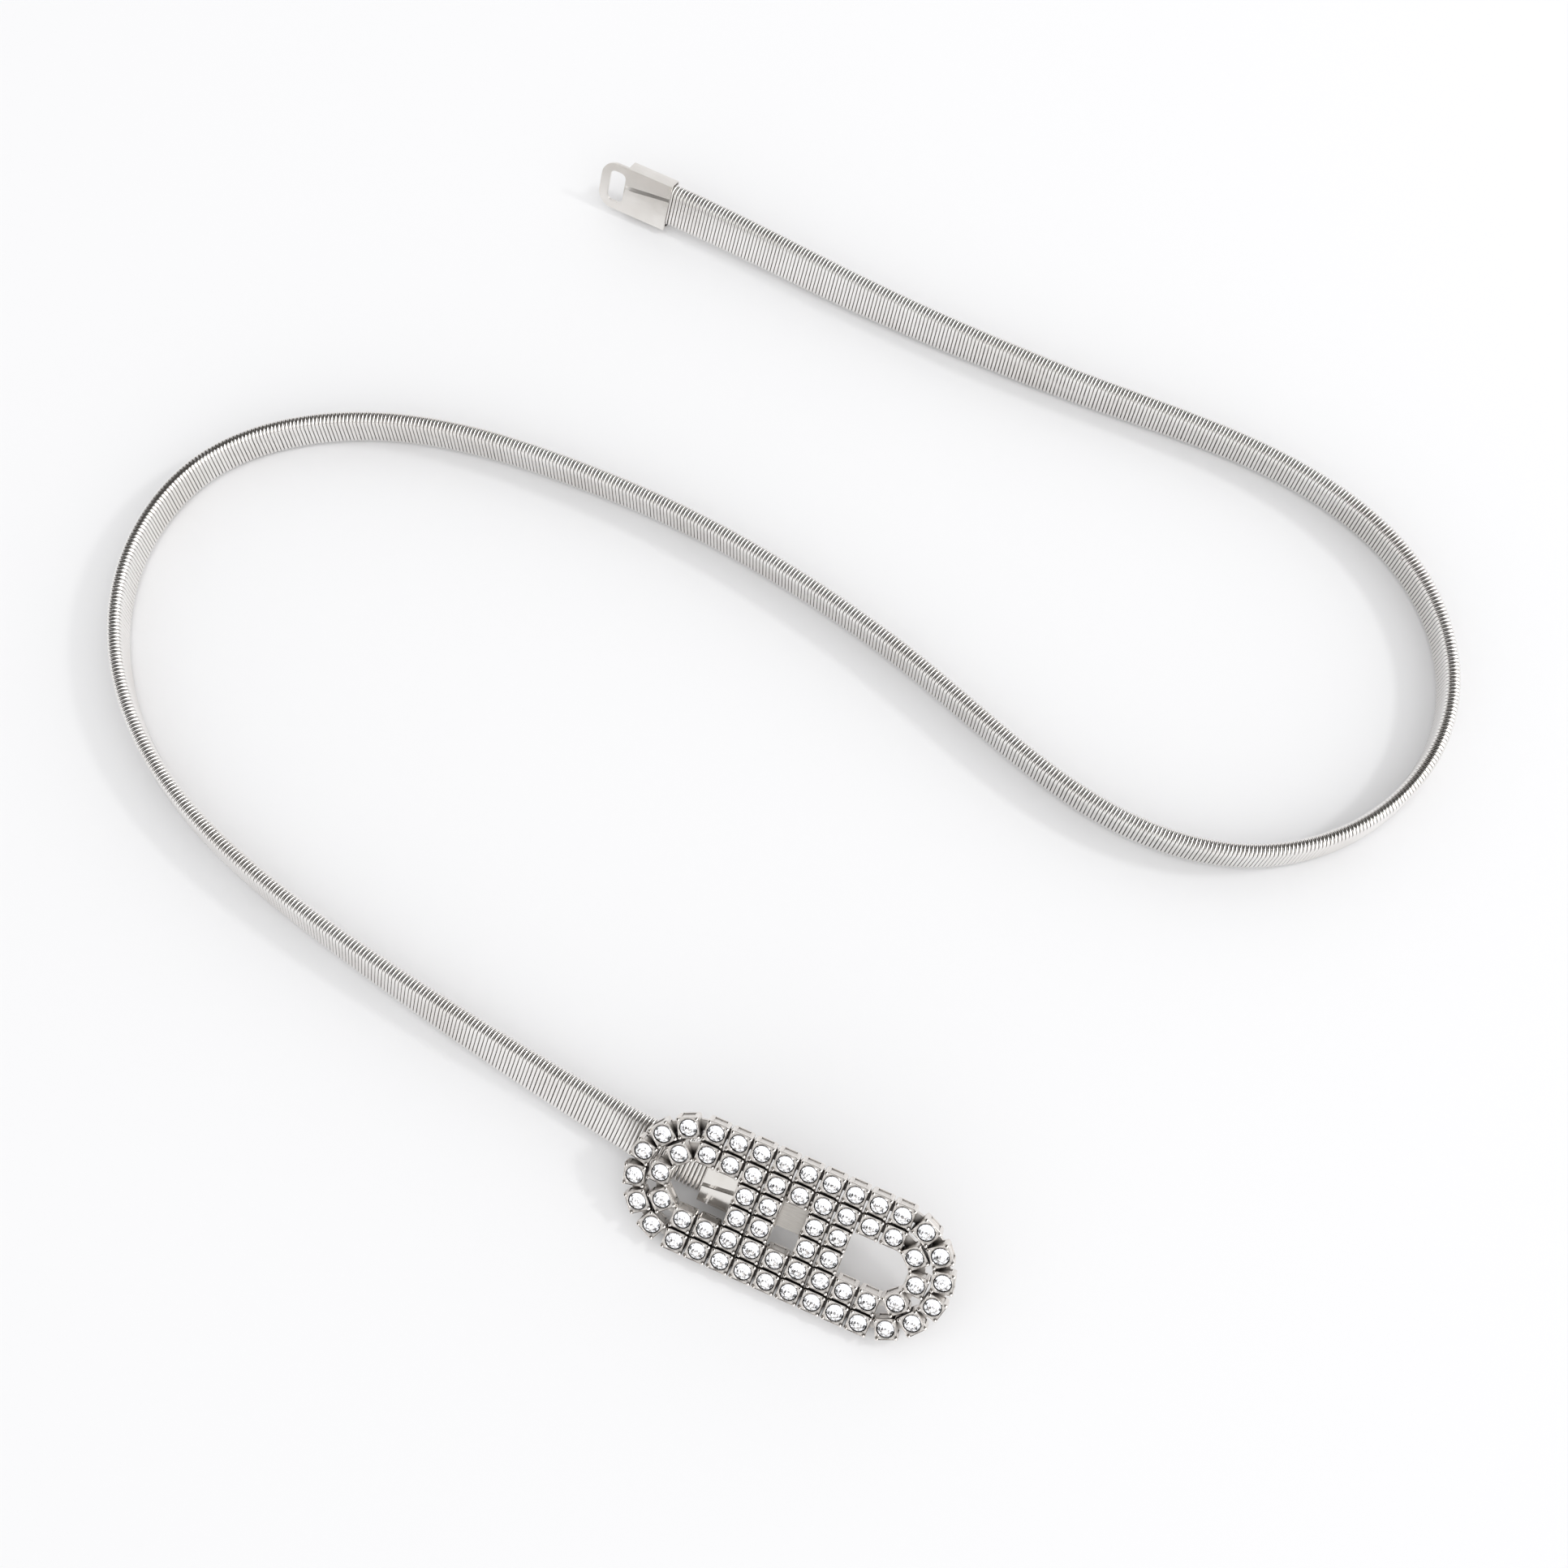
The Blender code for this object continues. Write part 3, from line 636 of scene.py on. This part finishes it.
def strap_line(samples=ROUTE_SAMPLES):
    """Centre, direction and up of the strap along its whole length, ends included."""
    knots = [list(row) for row in ROUTE]
    free_lean = math.radians(knots[0][2])
    free_lift = sleeve_rest_height(free_lean) - CORE_HALF * math.cos(free_lean) - EDGE_RADIUS
    turn = Matrix.Rotation(BUCKLE_TILT, 3, "X")
    clasp = turn @ Vector((CLASP_MOUTH, CLASP_OFFSET - CORE_HALF, CLASP_DEPTH))
    clasp.z += BUCKLE_HEIGHT
    clasp_lift = clasp.z - EDGE_RADIUS
    for i, knot in enumerate(knots):
        knot[3] *= free_lift if i < len(knots) / 2 else clasp_lift
    knots.append([clasp.x, clasp.y, math.degrees(CLASP_LEAN), clasp_lift])
    table = np.array(knots)
    steps = np.hypot(*np.diff(table[:, :2], axis=0).T)
    params = np.concatenate([[0.0], np.cumsum(steps)])
    at = np.linspace(0.0, params[-1], samples)
    slopes = ((math.cos(FREE_HEADING), 1.0), (math.sin(FREE_HEADING), 0.0), (0.0, 0.0), (0.0, 0.0))
    x, y, lean, lift = (clamped_spline(params, table[:, i], *slopes[i], at) for i in range(4))
    edge = np.stack([x, y, lift + EDGE_RADIUS], axis=1)
    along = np.gradient(edge, axis=0)
    left = np.stack([-along[:, 1], along[:, 0], np.zeros(samples)], axis=1)
    left /= np.linalg.norm(left, axis=1)[:, None]
    lean = np.radians(lean)[:, None]
    up = np.cos(lean) * np.array([0.0, 0.0, 1.0]) + np.sin(lean) * left
    centre = edge + CORE_HALF * up + np.array(ORIGIN)
    along = np.gradient(centre, axis=0)
    along[0] = (math.cos(FREE_HEADING), math.sin(FREE_HEADING), 0.0)
    along[-1] = (1.0, 0.0, 0.0)
    along /= np.linalg.norm(along, axis=1)[:, None]
    up -= np.sum(up * along, axis=1)[:, None] * along
    up /= np.linalg.norm(up, axis=1)[:, None]
    return centre, along, up


def with_gripped_ends(centre, along, up):
    """Adds the straight lengths that sit inside the two caps."""
    first = centre[0] - along[0] * STRAP_GRIP
    last = centre[-1] + along[-1] * STRAP_GRIP
    centre = np.vstack([first, centre, last])
    along = np.vstack([along[0], along, along[-1]])
    up = np.vstack([up[0], up, up[-1]])
    return centre, along, up


def turn_outline():
    """One turn of wire in the strap's section: across, up, and the way out, at each point."""
    core = CORE_HALF
    radius = EDGE_RADIUS - WIRE_HALF_DEPTH
    angles = np.linspace(0, math.pi, EDGE_POINTS)
    top = np.stack([radius * np.cos(angles), core + radius * np.sin(angles)], axis=1)
    top_out = np.stack([np.cos(angles), np.sin(angles)], axis=1)
    heights = np.linspace(core, -core, FACE_POINTS + 2)[1:-1]
    side = np.stack([np.full(FACE_POINTS, -radius), heights], axis=1)
    side_out = np.tile([-1.0, 0.0], (FACE_POINTS, 1))
    half = np.vstack([top, side])
    half_out = np.vstack([top_out, side_out])
    return np.vstack([half, -half]), np.vstack([half_out, -half_out])


def coil_piece_points(line, turns, first, last):
    """Swept wire surface of the turns from first to last, as a grid of points."""
    centre, along, up = line
    outline, outward = turn_outline()
    per_turn = len(outline)
    steps = np.linalg.norm(np.diff(centre, axis=0), axis=1)
    length = np.concatenate([[0.0], np.cumsum(steps)])
    index = np.arange(first * per_turn, last * per_turn + 1)
    at = index / (turns * per_turn) * length[-1]
    middle, forward, upward = (
        np.stack([np.interp(at, length, values[:, i]) for i in range(3)], axis=1)
        for values in (centre, along, up)
    )
    across = np.cross(forward, upward)
    slot = index % per_turn
    uneven = np.random.default_rng(UNEVENNESS_SEED).normal(0.0, TURN_UNEVENNESS, (turns + 1, 2))
    shift = uneven[index // per_turn]
    flat = outline[slot] + outward[slot] * shift[:, :1]
    path = middle + across * flat[:, :1] + upward * flat[:, 1:] + forward * shift[:, 1:]
    out = across * outward[slot][:, :1] + upward * outward[slot][:, 1:]
    sides = np.linspace(0, 2 * math.pi, WIRE_SIDES, endpoint=False)
    depth, width = (
        half * np.sign(wave) * np.abs(wave) ** (2 / WIRE_SQUARENESS)
        for half, wave in ((WIRE_HALF_DEPTH, np.cos(sides)), (WIRE_HALF_WIDTH, np.sin(sides)))
    )
    deep = depth[None, :, None] * out[:, None]
    wide = width[None, :, None] * forward[:, None]
    return path[:, None] + deep + wide


def wind_strap(line):
    """The strap's coil, in a few pieces that meet turn to turn."""
    line = with_gripped_ends(*line)
    length = np.linalg.norm(np.diff(line[0], axis=0), axis=1).sum()
    turns = round(length / COIL_PITCH)
    wire = spring_wire()
    bounds = [round(turns * i / COIL_PIECES) for i in range(COIL_PIECES + 1)]
    for i, (first, last) in enumerate(zip(bounds, bounds[1:])):
        points = coil_piece_points(line, turns, first, last)
        mesh = mesh_from_grid(f"wound_wire_{i + 1}", points)
        new_piece(f"wound_wire_{i + 1}", mesh, [wire], "spring_strap")


# Eye caps


def seam_wedge():
    """The metal that a cap's lower flap loses where it dips under the upper flap."""
    clear = PLATE_FRONT + PLATE_THICKNESS
    rings = [
        [
            (x, y, clear),
            (x, y, PLATE_FRONT - deep),
            (x, y + wide, PLATE_FRONT + WEDGE_SKIM),
            (x, y + wide, clear),
        ]
        for x, y, deep, wide in LAP_SEAM
    ]
    shape = bmesh.new()
    ring_loft(shape, rings)
    bmesh.ops.recalc_face_normals(shape, faces=shape.faces)
    mesh = bpy.data.meshes.new("wedge")
    shape.to_mesh(mesh)
    shape.free()
    return mesh


def cap_mesh():
    """One pressed cap: mouth at x = 0, eye towards +X, slotted plate on +Z."""
    half_height = SLEEVE_HALF_HEIGHT + PLATE_OVERHANG
    tip = CAP_LENGTH - PLATE_TIP_CORNER
    side = half_height - PLATE_TIP_CORNER
    outline = [(0.0, -half_height), *arc(tip, -side, PLATE_TIP_CORNER, -90, 0, PLATE_TIP_SEGMENTS)]
    outline += [*arc(tip, side, PLATE_TIP_CORNER, 0, 90, PLATE_TIP_SEGMENTS), (0.0, half_height)]
    slot_side = SLOT_HEIGHT / 2 - SLOT_CORNER
    near, far = SLOT_START + SLOT_CORNER, SLOT_END - SLOT_CORNER
    corners = (
        (near, -slot_side, 180),
        (far, -slot_side, 270),
        (far, slot_side, 0),
        (near, slot_side, 90),
    )
    slot = []
    for x, y, start in corners:
        slot += arc(x, y, SLOT_CORNER, start, start + 90, SLOT_CORNER_SEGMENTS)
    plate = flat_sheet([outline, slot], PLATE_THICKNESS)
    plate.transform(Matrix.Translation((0, 0, PLATE_BACK + PLATE_THICKNESS / 2)))
    sleeve = block_mesh(
        (PLATE_OVERHANG, -SLEEVE_HALF_HEIGHT, -SLEEVE_BACK),
        (SLEEVE_LENGTH, SLEEVE_HALF_HEIGHT, PLATE_BACK + PLATE_THICKNESS / 2),
        SLEEVE_CORNER,
        lambda co: co.z < 0,
    )
    cavity = block_mesh(
        (-SLEEVE_LENGTH, -CAVITY_HALF_HEIGHT, -CAVITY_HALF_DEPTH),
        (SLEEVE_LENGTH - SLEEVE_END_WALL, CAVITY_HALF_HEIGHT, CAVITY_HALF_DEPTH),
        SLEEVE_CORNER - SLEEVE_WALL,
    )
    mesh = boolean(boolean(sleeve, "UNION", plate), "DIFFERENCE", cavity, seam_wedge())
    mesh.shade_smooth()
    mesh.set_sharp_from_angle(angle=SHEET_CREASE_ANGLE)
    return mesh


def round_edges(piece):
    """Rounds a sheet's cut edges and keeps its flats flat in the shading."""
    edge = piece.modifiers.new("edge", "BEVEL")
    edge.width = SHEET_EDGE_ROUND
    edge.segments = SHEET_EDGE_SEGMENTS
    edge.limit_method = "ANGLE"
    edge.angle_limit = SHEET_EDGE_ANGLE
    edge.harden_normals = True


def cap_matrix(mouth, outward, front):
    """Places a cap with its mouth's middle at a point, its eye outward, its plate on front."""
    side = front.cross(outward)
    turn = Matrix((outward, side, front)).transposed()
    return Matrix.Translation(mouth) @ turn.to_4x4()


def press_caps(line):
    """The two caps, each on its end of the strap."""
    centre, along, up = line
    sheet = pressed_sheet()
    for node, end, sign in (("eye_cap", 0, -1), ("strap_cap", -1, 1)):
        direction, upward = Vector(along[end]), Vector(up[end])
        place = cap_matrix(Vector(centre[end]), sign * direction, direction.cross(upward))
        round_edges(new_piece(f"pressed_{node}", cap_mesh(), [sheet], node, place))


# Buckle frame


def cup_places():
    """Where each cup sits in the buckle's frame, with the turn of its fanned ones."""
    places = []
    for column in range(-HALF_COLUMNS, HALF_COLUMNS + 1):
        rows = [-2.5, -1.5, 1.5, 2.5]
        if column in BAR_COLUMNS:
            rows += [-0.5, 0.5]
        places += [(column * PITCH, row * PITCH, 0.0) for row in rows]
    for count, radius in ((OUTER_FAN, OUTER_RADIUS), (INNER_FAN, INNER_RADIUS)):
        for i in range(1, count + 1):
            turn = math.pi * (i / (count + 1) - 0.5)
            x = FRAME_HALF_LENGTH + radius * math.cos(turn)
            y = radius * math.sin(turn)
            places += [(x, y, turn), (-x, -y, turn + math.pi)]
    return places


def square_ring(half, z, angles):
    """A cup's rounded square of points at a height, one for each angle."""
    ring = []
    for angle in angles:
        across, along = math.cos(angle), math.sin(angle)
        power = abs(across) ** CUP_SQUARENESS + abs(along) ** CUP_SQUARENESS
        reach = half / power ** (1 / CUP_SQUARENESS)
        ring.append((reach * across, reach * along, z))
    return ring


def round_ring(centre_x, centre_y, radius, z, angles):
    """A circle of points at a height, one for each angle."""
    return [(centre_x + radius * math.cos(a), centre_y + radius * math.sin(a), z) for a in angles]


def ring_loft(shape, rings, material=0, smooth=False):
    """Skins equal rings of points one after another, and closes both ends."""
    loops = [[shape.verts.new(point) for point in ring] for ring in rings]
    made = []
    for lower, upper in zip(loops, loops[1:]):
        for i in range(len(lower)):
            j = (i + 1) % len(lower)
            made.append(shape.faces.new((lower[i], lower[j], upper[j], upper[i])))
    made.append(shape.faces.new(reversed(loops[0])))
    made.append(shape.faces.new(loops[-1]))
    for face in made:
        face.material_index = material
        face.smooth = smooth
    return made


def sink_panels(shape, faces):
    """Sinks a shallow panel into each side of a cup's wall."""
    panels = []
    for face in faces:
        face.normal_update()
        centre = face.calc_center_median()
        on_side = max(abs(centre.x), abs(centre.y)) > CUP_SIDE / 2 * 0.99
        square_on = max(abs(face.normal.x), abs(face.normal.y)) > 0.999
        if on_side and square_on and CUP_PANEL_FROM < centre.z < CUP_PANEL_TO:
            panels.append(face)
    for thickness, depth in ((CUP_PANEL_MARGIN, 0.0), (CUP_PANEL_BEVEL, -CUP_PANEL_DEPTH)):
        bmesh.ops.inset_region(
            shape, faces=panels, thickness=thickness, depth=depth, use_even_offset=False,
        )


def cup_template():
    """One cast cup: square wall with a sunk panel on each side, thin rim, sunk face,
    round bezel with a groove inside it, seat, and four prongs. Its first material is
    satin and its second bright."""
    shape = bmesh.new()
    angles = [math.radians(side + part) for side in (0, 90, 180, 270) for part in CUP_ANGLES]
    rings = [square_ring(CUP_SIDE / 2 - inset, z, angles) for inset, z in CUP_WALL]
    rings += [round_ring(0, 0, STONE_RADIUS + out, z, angles) for out, z in CUP_BEZEL]
    rings.append(round_ring(0, 0, STONE_RADIUS * SEAT_SHARE, CUP_BASE + SEAT_RISE, angles))
    faces = ring_loft(shape, rings, smooth=True)
    for i, face in enumerate(faces):
        band = i // len(angles)
        face.material_index = 1 if band >= RIM_BAND and band != FACE_BAND else 0
    sink_panels(shape, faces)
    for side_x in (-1, 1):
        for side_y in (-1, 1):
            raise_prong(shape, side_x, side_y)
    mesh = bpy.data.meshes.new("cup")
    bmesh.ops.recalc_face_normals(shape, faces=shape.faces)
    shape.to_mesh(mesh)
    shape.free()
    mesh.set_sharp_from_angle(angle=CUP_CREASE_ANGLE)
    return mesh


def raise_prong(shape, side_x, side_y):
    """A corner prong: a round peg that leans in over the stone and ends in a bead."""
    corner = CUP_SIDE / 2 - PRONG_INSET
    angles = [2 * math.pi * i / PRONG_SIDES for i in range(PRONG_SIDES)]
    rings = []
    for z, share, inward in PRONG_LEVELS:
        reach = corner - inward / math.sqrt(2)
        rings.append(round_ring(side_x * reach, side_y * reach, PRONG_RADIUS * share, z, angles))
    ring_loft(shape, rings, material=1, smooth=True)


def stone_template():
    """A round brilliant: table, stars, kites, girdle, and a foil-backed pavilion."""
    def ring(radius, z, count, phase):
        return [
            Vector((radius * math.cos(a), radius * math.sin(a), z))
            for a in (2 * math.pi * (i + phase) / count for i in range(count))
        ]

    points = ring(TABLE_RADIUS, CROWN_HEIGHT, 8, 0.0)
    points += ring(STONE_RADIUS * STAR_RADIUS_SHARE, CROWN_HEIGHT * STAR_HEIGHT_SHARE, 8, 0.5)
    points += ring(STONE_RADIUS, GIRDLE_HALF, 16, 0.0)
    points += ring(STONE_RADIUS, -GIRDLE_HALF, 16, 0.0)
    back_radius = STONE_RADIUS * PAVILION_RADIUS_SHARE
    points += ring(back_radius, -PAVILION_DEPTH * PAVILION_DEPTH_SHARE, 8, 0.0)
    points.append(Vector((0, 0, -PAVILION_DEPTH)))
    shape = bmesh.new()
    verts = [shape.verts.new(point) for point in points]
    bmesh.ops.convex_hull(shape, input=verts)
    bmesh.ops.dissolve_limit(
        shape, angle_limit=FACET_FLAT_ANGLE, verts=shape.verts, edges=shape.edges,
    )
    for face in shape.faces:
        face.smooth = False
        face.material_index = 1 if face.calc_center_median().z < FOIL_BELOW else 0
    mesh = bpy.data.meshes.new("stone")
    shape.to_mesh(mesh)
    shape.free()
    return mesh


def joined(name, meshes):
    """One mesh made of several, each left as a shell of its own."""
    shape = bmesh.new()
    for mesh in meshes:
        shape.from_mesh(mesh)
    whole = bpy.data.meshes.new(name)
    shape.to_mesh(whole)
    shape.free()
    return whole


def repeated(name, template, matrices):
    """One mesh of a template at each matrix, keeping its materials and shading."""
    copies = [template.copy() for _ in matrices]
    for copy, matrix in zip(copies, matrices):
        copy.transform(matrix)
    return joined(name, copies)


def stadium_outline(radius):
    """A rail's oblong outline with round ends."""
    right = arc(FRAME_HALF_LENGTH, 0, radius, -90, 90, RAIL_ARC_SEGMENTS)
    left = arc(-FRAME_HALF_LENGTH, 0, radius, 90, 270, RAIL_ARC_SEGMENTS)
    return right + left


def rail_meshes():
    """The two closed rails and the bars that tie them behind the cups."""
    meshes = []
    for radius in (OUTER_RADIUS, INNER_RADIUS):
        outlines = [stadium_outline(radius + side * RAIL_WIDTH / 2) for side in (1, -1)]
        rail = flat_sheet(outlines, RAIL_THICKNESS)
        rail.transform(Matrix.Translation((0, 0, RAIL_THICKNESS / 2)))
        meshes.append(rail)
    half, lap = RAIL_WIDTH / 2, RAIL_WIDTH / 4
    inner, outer = INNER_RADIUS - lap, OUTER_RADIUS + lap
    low, high = BAR_INSET, RAIL_THICKNESS - BAR_INSET
    for column in range(-HALF_COLUMNS, HALF_COLUMNS + 1):
        x = column * PITCH
        spans = [(-outer, -inner), (inner, outer)]
        if column in BAR_COLUMNS:
            spans = [(-outer, outer)]
        for start, end in spans:
            meshes.append(block_mesh((x - half, start, low), (x + half, end, high)))
    for near, far in (BAR_COLUMNS[:2], BAR_COLUMNS[2:]):
        for row in (-0.5, 0.5):
            start = (near * PITCH - lap, row * PITCH - half, 0.0)
            end = (far * PITCH + lap, row * PITCH + half, RAIL_THICKNESS)
            meshes.append(block_mesh(start, end))
    return meshes


def set_buckle():
    """The cast frame and its stones."""
    places = [
        Matrix.Translation((x, y, 0)) @ Matrix.Rotation(turn, 4, "Z")
        for x, y, turn in cup_places()
    ]
    # The last colour of each is the painted shade in its hollows: dark brown for satin, grey for
    # bright
    satin = plated_casting("plated_zinc_satin", 0.50, 0.34, "2C201D")
    bright = plated_casting("plated_zinc_bright", 0.16, 0.05, "8C847E")
    cups = repeated("cast_cups", cup_template(), places)
    new_piece("cast_cups", cups, [satin, bright], "stone_frame", BUCKLE)
    new_piece("cast_rails", joined("cast_rails", rail_meshes()), [satin], "stone_frame", BUCKLE)
    chance = np.random.default_rng(STONE_SEED)
    settings = []
    for place in places:
        spin = Matrix.Rotation(chance.uniform(0, math.pi / 4), 4, "Z")
        rock_x = Matrix.Rotation(math.radians(chance.normal(0, STONE_ROCK)), 4, "X")
        rock_y = Matrix.Rotation(math.radians(chance.normal(0, STONE_ROCK)), 4, "Y")
        settings.append(place @ Matrix.Translation((0, 0, STONE_GIRDLE)) @ rock_x @ rock_y @ spin)
    stones = repeated("set_stones", stone_template(), settings)
    new_piece("set_stones", stones, [crystal(), foil()], "stone_frame", BUCKLE)


def finish_clip():
    """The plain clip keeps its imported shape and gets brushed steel."""
    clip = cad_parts["hook_clip"]
    clip.data.materials.clear()
    clip.data.materials.append(folded_strip())


# Studio


def lay_sweep():
    """The white sheet that the piece lies on."""
    bpy.ops.mesh.primitive_plane_add(size=SWEEP_SIZE, location=(0, 0, 0))
    floor = bpy.context.object
    floor.name = "white_sweep"
    floor.data.materials.append(white_sheet())


def raise_tent():
    """An even white tent round the piece. For the metal to reflect, it has a bright panel
    on its right, grey cloth overhead and on its left, and a white card in front of the
    buckle. The stones gather the white tent itself, with the opening over the camera."""
    world = bpy.data.worlds.new("light_tent")
    bpy.context.scene.world = world
    world.use_nodes = True
    tree = world.node_tree
    way = add_node(tree, "ShaderNodeTexCoord").outputs["Generated"]
    height = add_node(tree, "ShaderNodeSeparateXYZ", {"Vector": way}).outputs["Z"]
    cloth, panel, opening = (
        ramp_between(tree, height, stops).outputs["Color"]
        for stops in (CLOTH_STOPS, PANEL_STOPS, OPENING_STOPS)
    )
    mirrored = add_node(tree, "ShaderNodeBackground", {"Color": cloth, "Strength": CLOTH_STRENGTH})
    hangings = (
        (PANEL_SIDE, PANEL_EDGE, panel, PANEL_STRENGTH),
        (CARD_SIDE, CARD_EDGE, hex_colour("FFFFFF"), CARD_STRENGTH),
    )
    for side, (start, end), colour, strength in hangings:
        light = add_node(tree, "ShaderNodeBackground", {"Color": colour, "Strength": strength})
        cosine = add_node(tree, "ShaderNodeVectorMath", {0: way, 1: side}, operation="DOT_PRODUCT")
        share = add_node(
            tree, "ShaderNodeMapRange",
            {"Value": cosine.outputs["Value"], "From Min": start, "From Max": end},
        )
        mirrored = add_node(
            tree, "ShaderNodeMixShader",
            {0: share.outputs["Result"], 1: mirrored.outputs[0], 2: light.outputs["Background"]},
        )
    pierced = add_node(
        tree, "ShaderNodeBackground",
        {"Color": opening, "Strength": STONE_TENT_STRENGTH},
    )
    even = tree.nodes["Background"]
    even.inputs["Color"].default_value = hex_colour("FFFFFF")
    even.inputs["Strength"].default_value = TENT_STRENGTH
    rays = add_node(tree, "ShaderNodeLightPath").outputs
    plain = add_node(
        tree, "ShaderNodeMixShader",
        {0: rays["Is Glossy Ray"], 1: even.outputs["Background"], 2: mirrored.outputs["Shader"]},
    )
    tent = add_node(
        tree, "ShaderNodeMixShader",
        {0: rays["Is Transmission Ray"], 1: plain.outputs["Shader"],
         2: pierced.outputs["Background"]},
    )
    tree.links.new(tent.outputs["Shader"], tree.nodes["World Output"].inputs["Surface"])


def hang_lamp():
    """One soft round lamp at the upper right, for the shadows."""
    key = bpy.data.lights.new("key_lamp", "AREA")
    key.shape = "DISK"
    key.size = LAMP_SIZE
    key.energy = LAMP_POWER
    lamp = bpy.data.objects.new("key_lamp", key)
    bpy.context.scene.collection.objects.link(lamp)
    lamp.location = LAMP_DISTANCE * Vector((
        math.cos(LAMP_AZIMUTH) * math.cos(LAMP_ELEVATION),
        math.sin(LAMP_AZIMUTH) * math.cos(LAMP_ELEVATION),
        math.sin(LAMP_ELEVATION),
    ))
    lamp.rotation_euler = (-lamp.location).to_track_quat("-Z", "Y").to_euler()


def photo_camera():
    """The photograph's own view of the piece."""
    data = bpy.data.cameras.new("photo_camera")
    data.sensor_width = SENSOR
    data.lens = SENSOR * FOCAL_PIXELS / PHOTO_PIXELS
    data.clip_start = 0.01
    camera = bpy.data.objects.new("photo_camera", data)
    bpy.context.scene.collection.objects.link(camera)
    camera.location = ORIGIN + CAMERA_FROM_BUCKLE
    aim = ORIGIN + AIM_FROM_BUCKLE - camera.location
    camera.rotation_mode = "QUATERNION"
    roll = Matrix.Rotation(CAMERA_ROLL, 3, "Z").to_quaternion()
    camera.rotation_quaternion = aim.to_track_quat("-Z", "Y") @ roll
    bpy.context.scene.camera = camera
    bpy.context.scene.view_settings.view_transform = "Standard"


line = strap_line()
wind_strap(line)
press_caps(line)
set_buckle()
finish_clip()
lay_sweep()
raise_tent()
hang_lamp()
photo_camera()
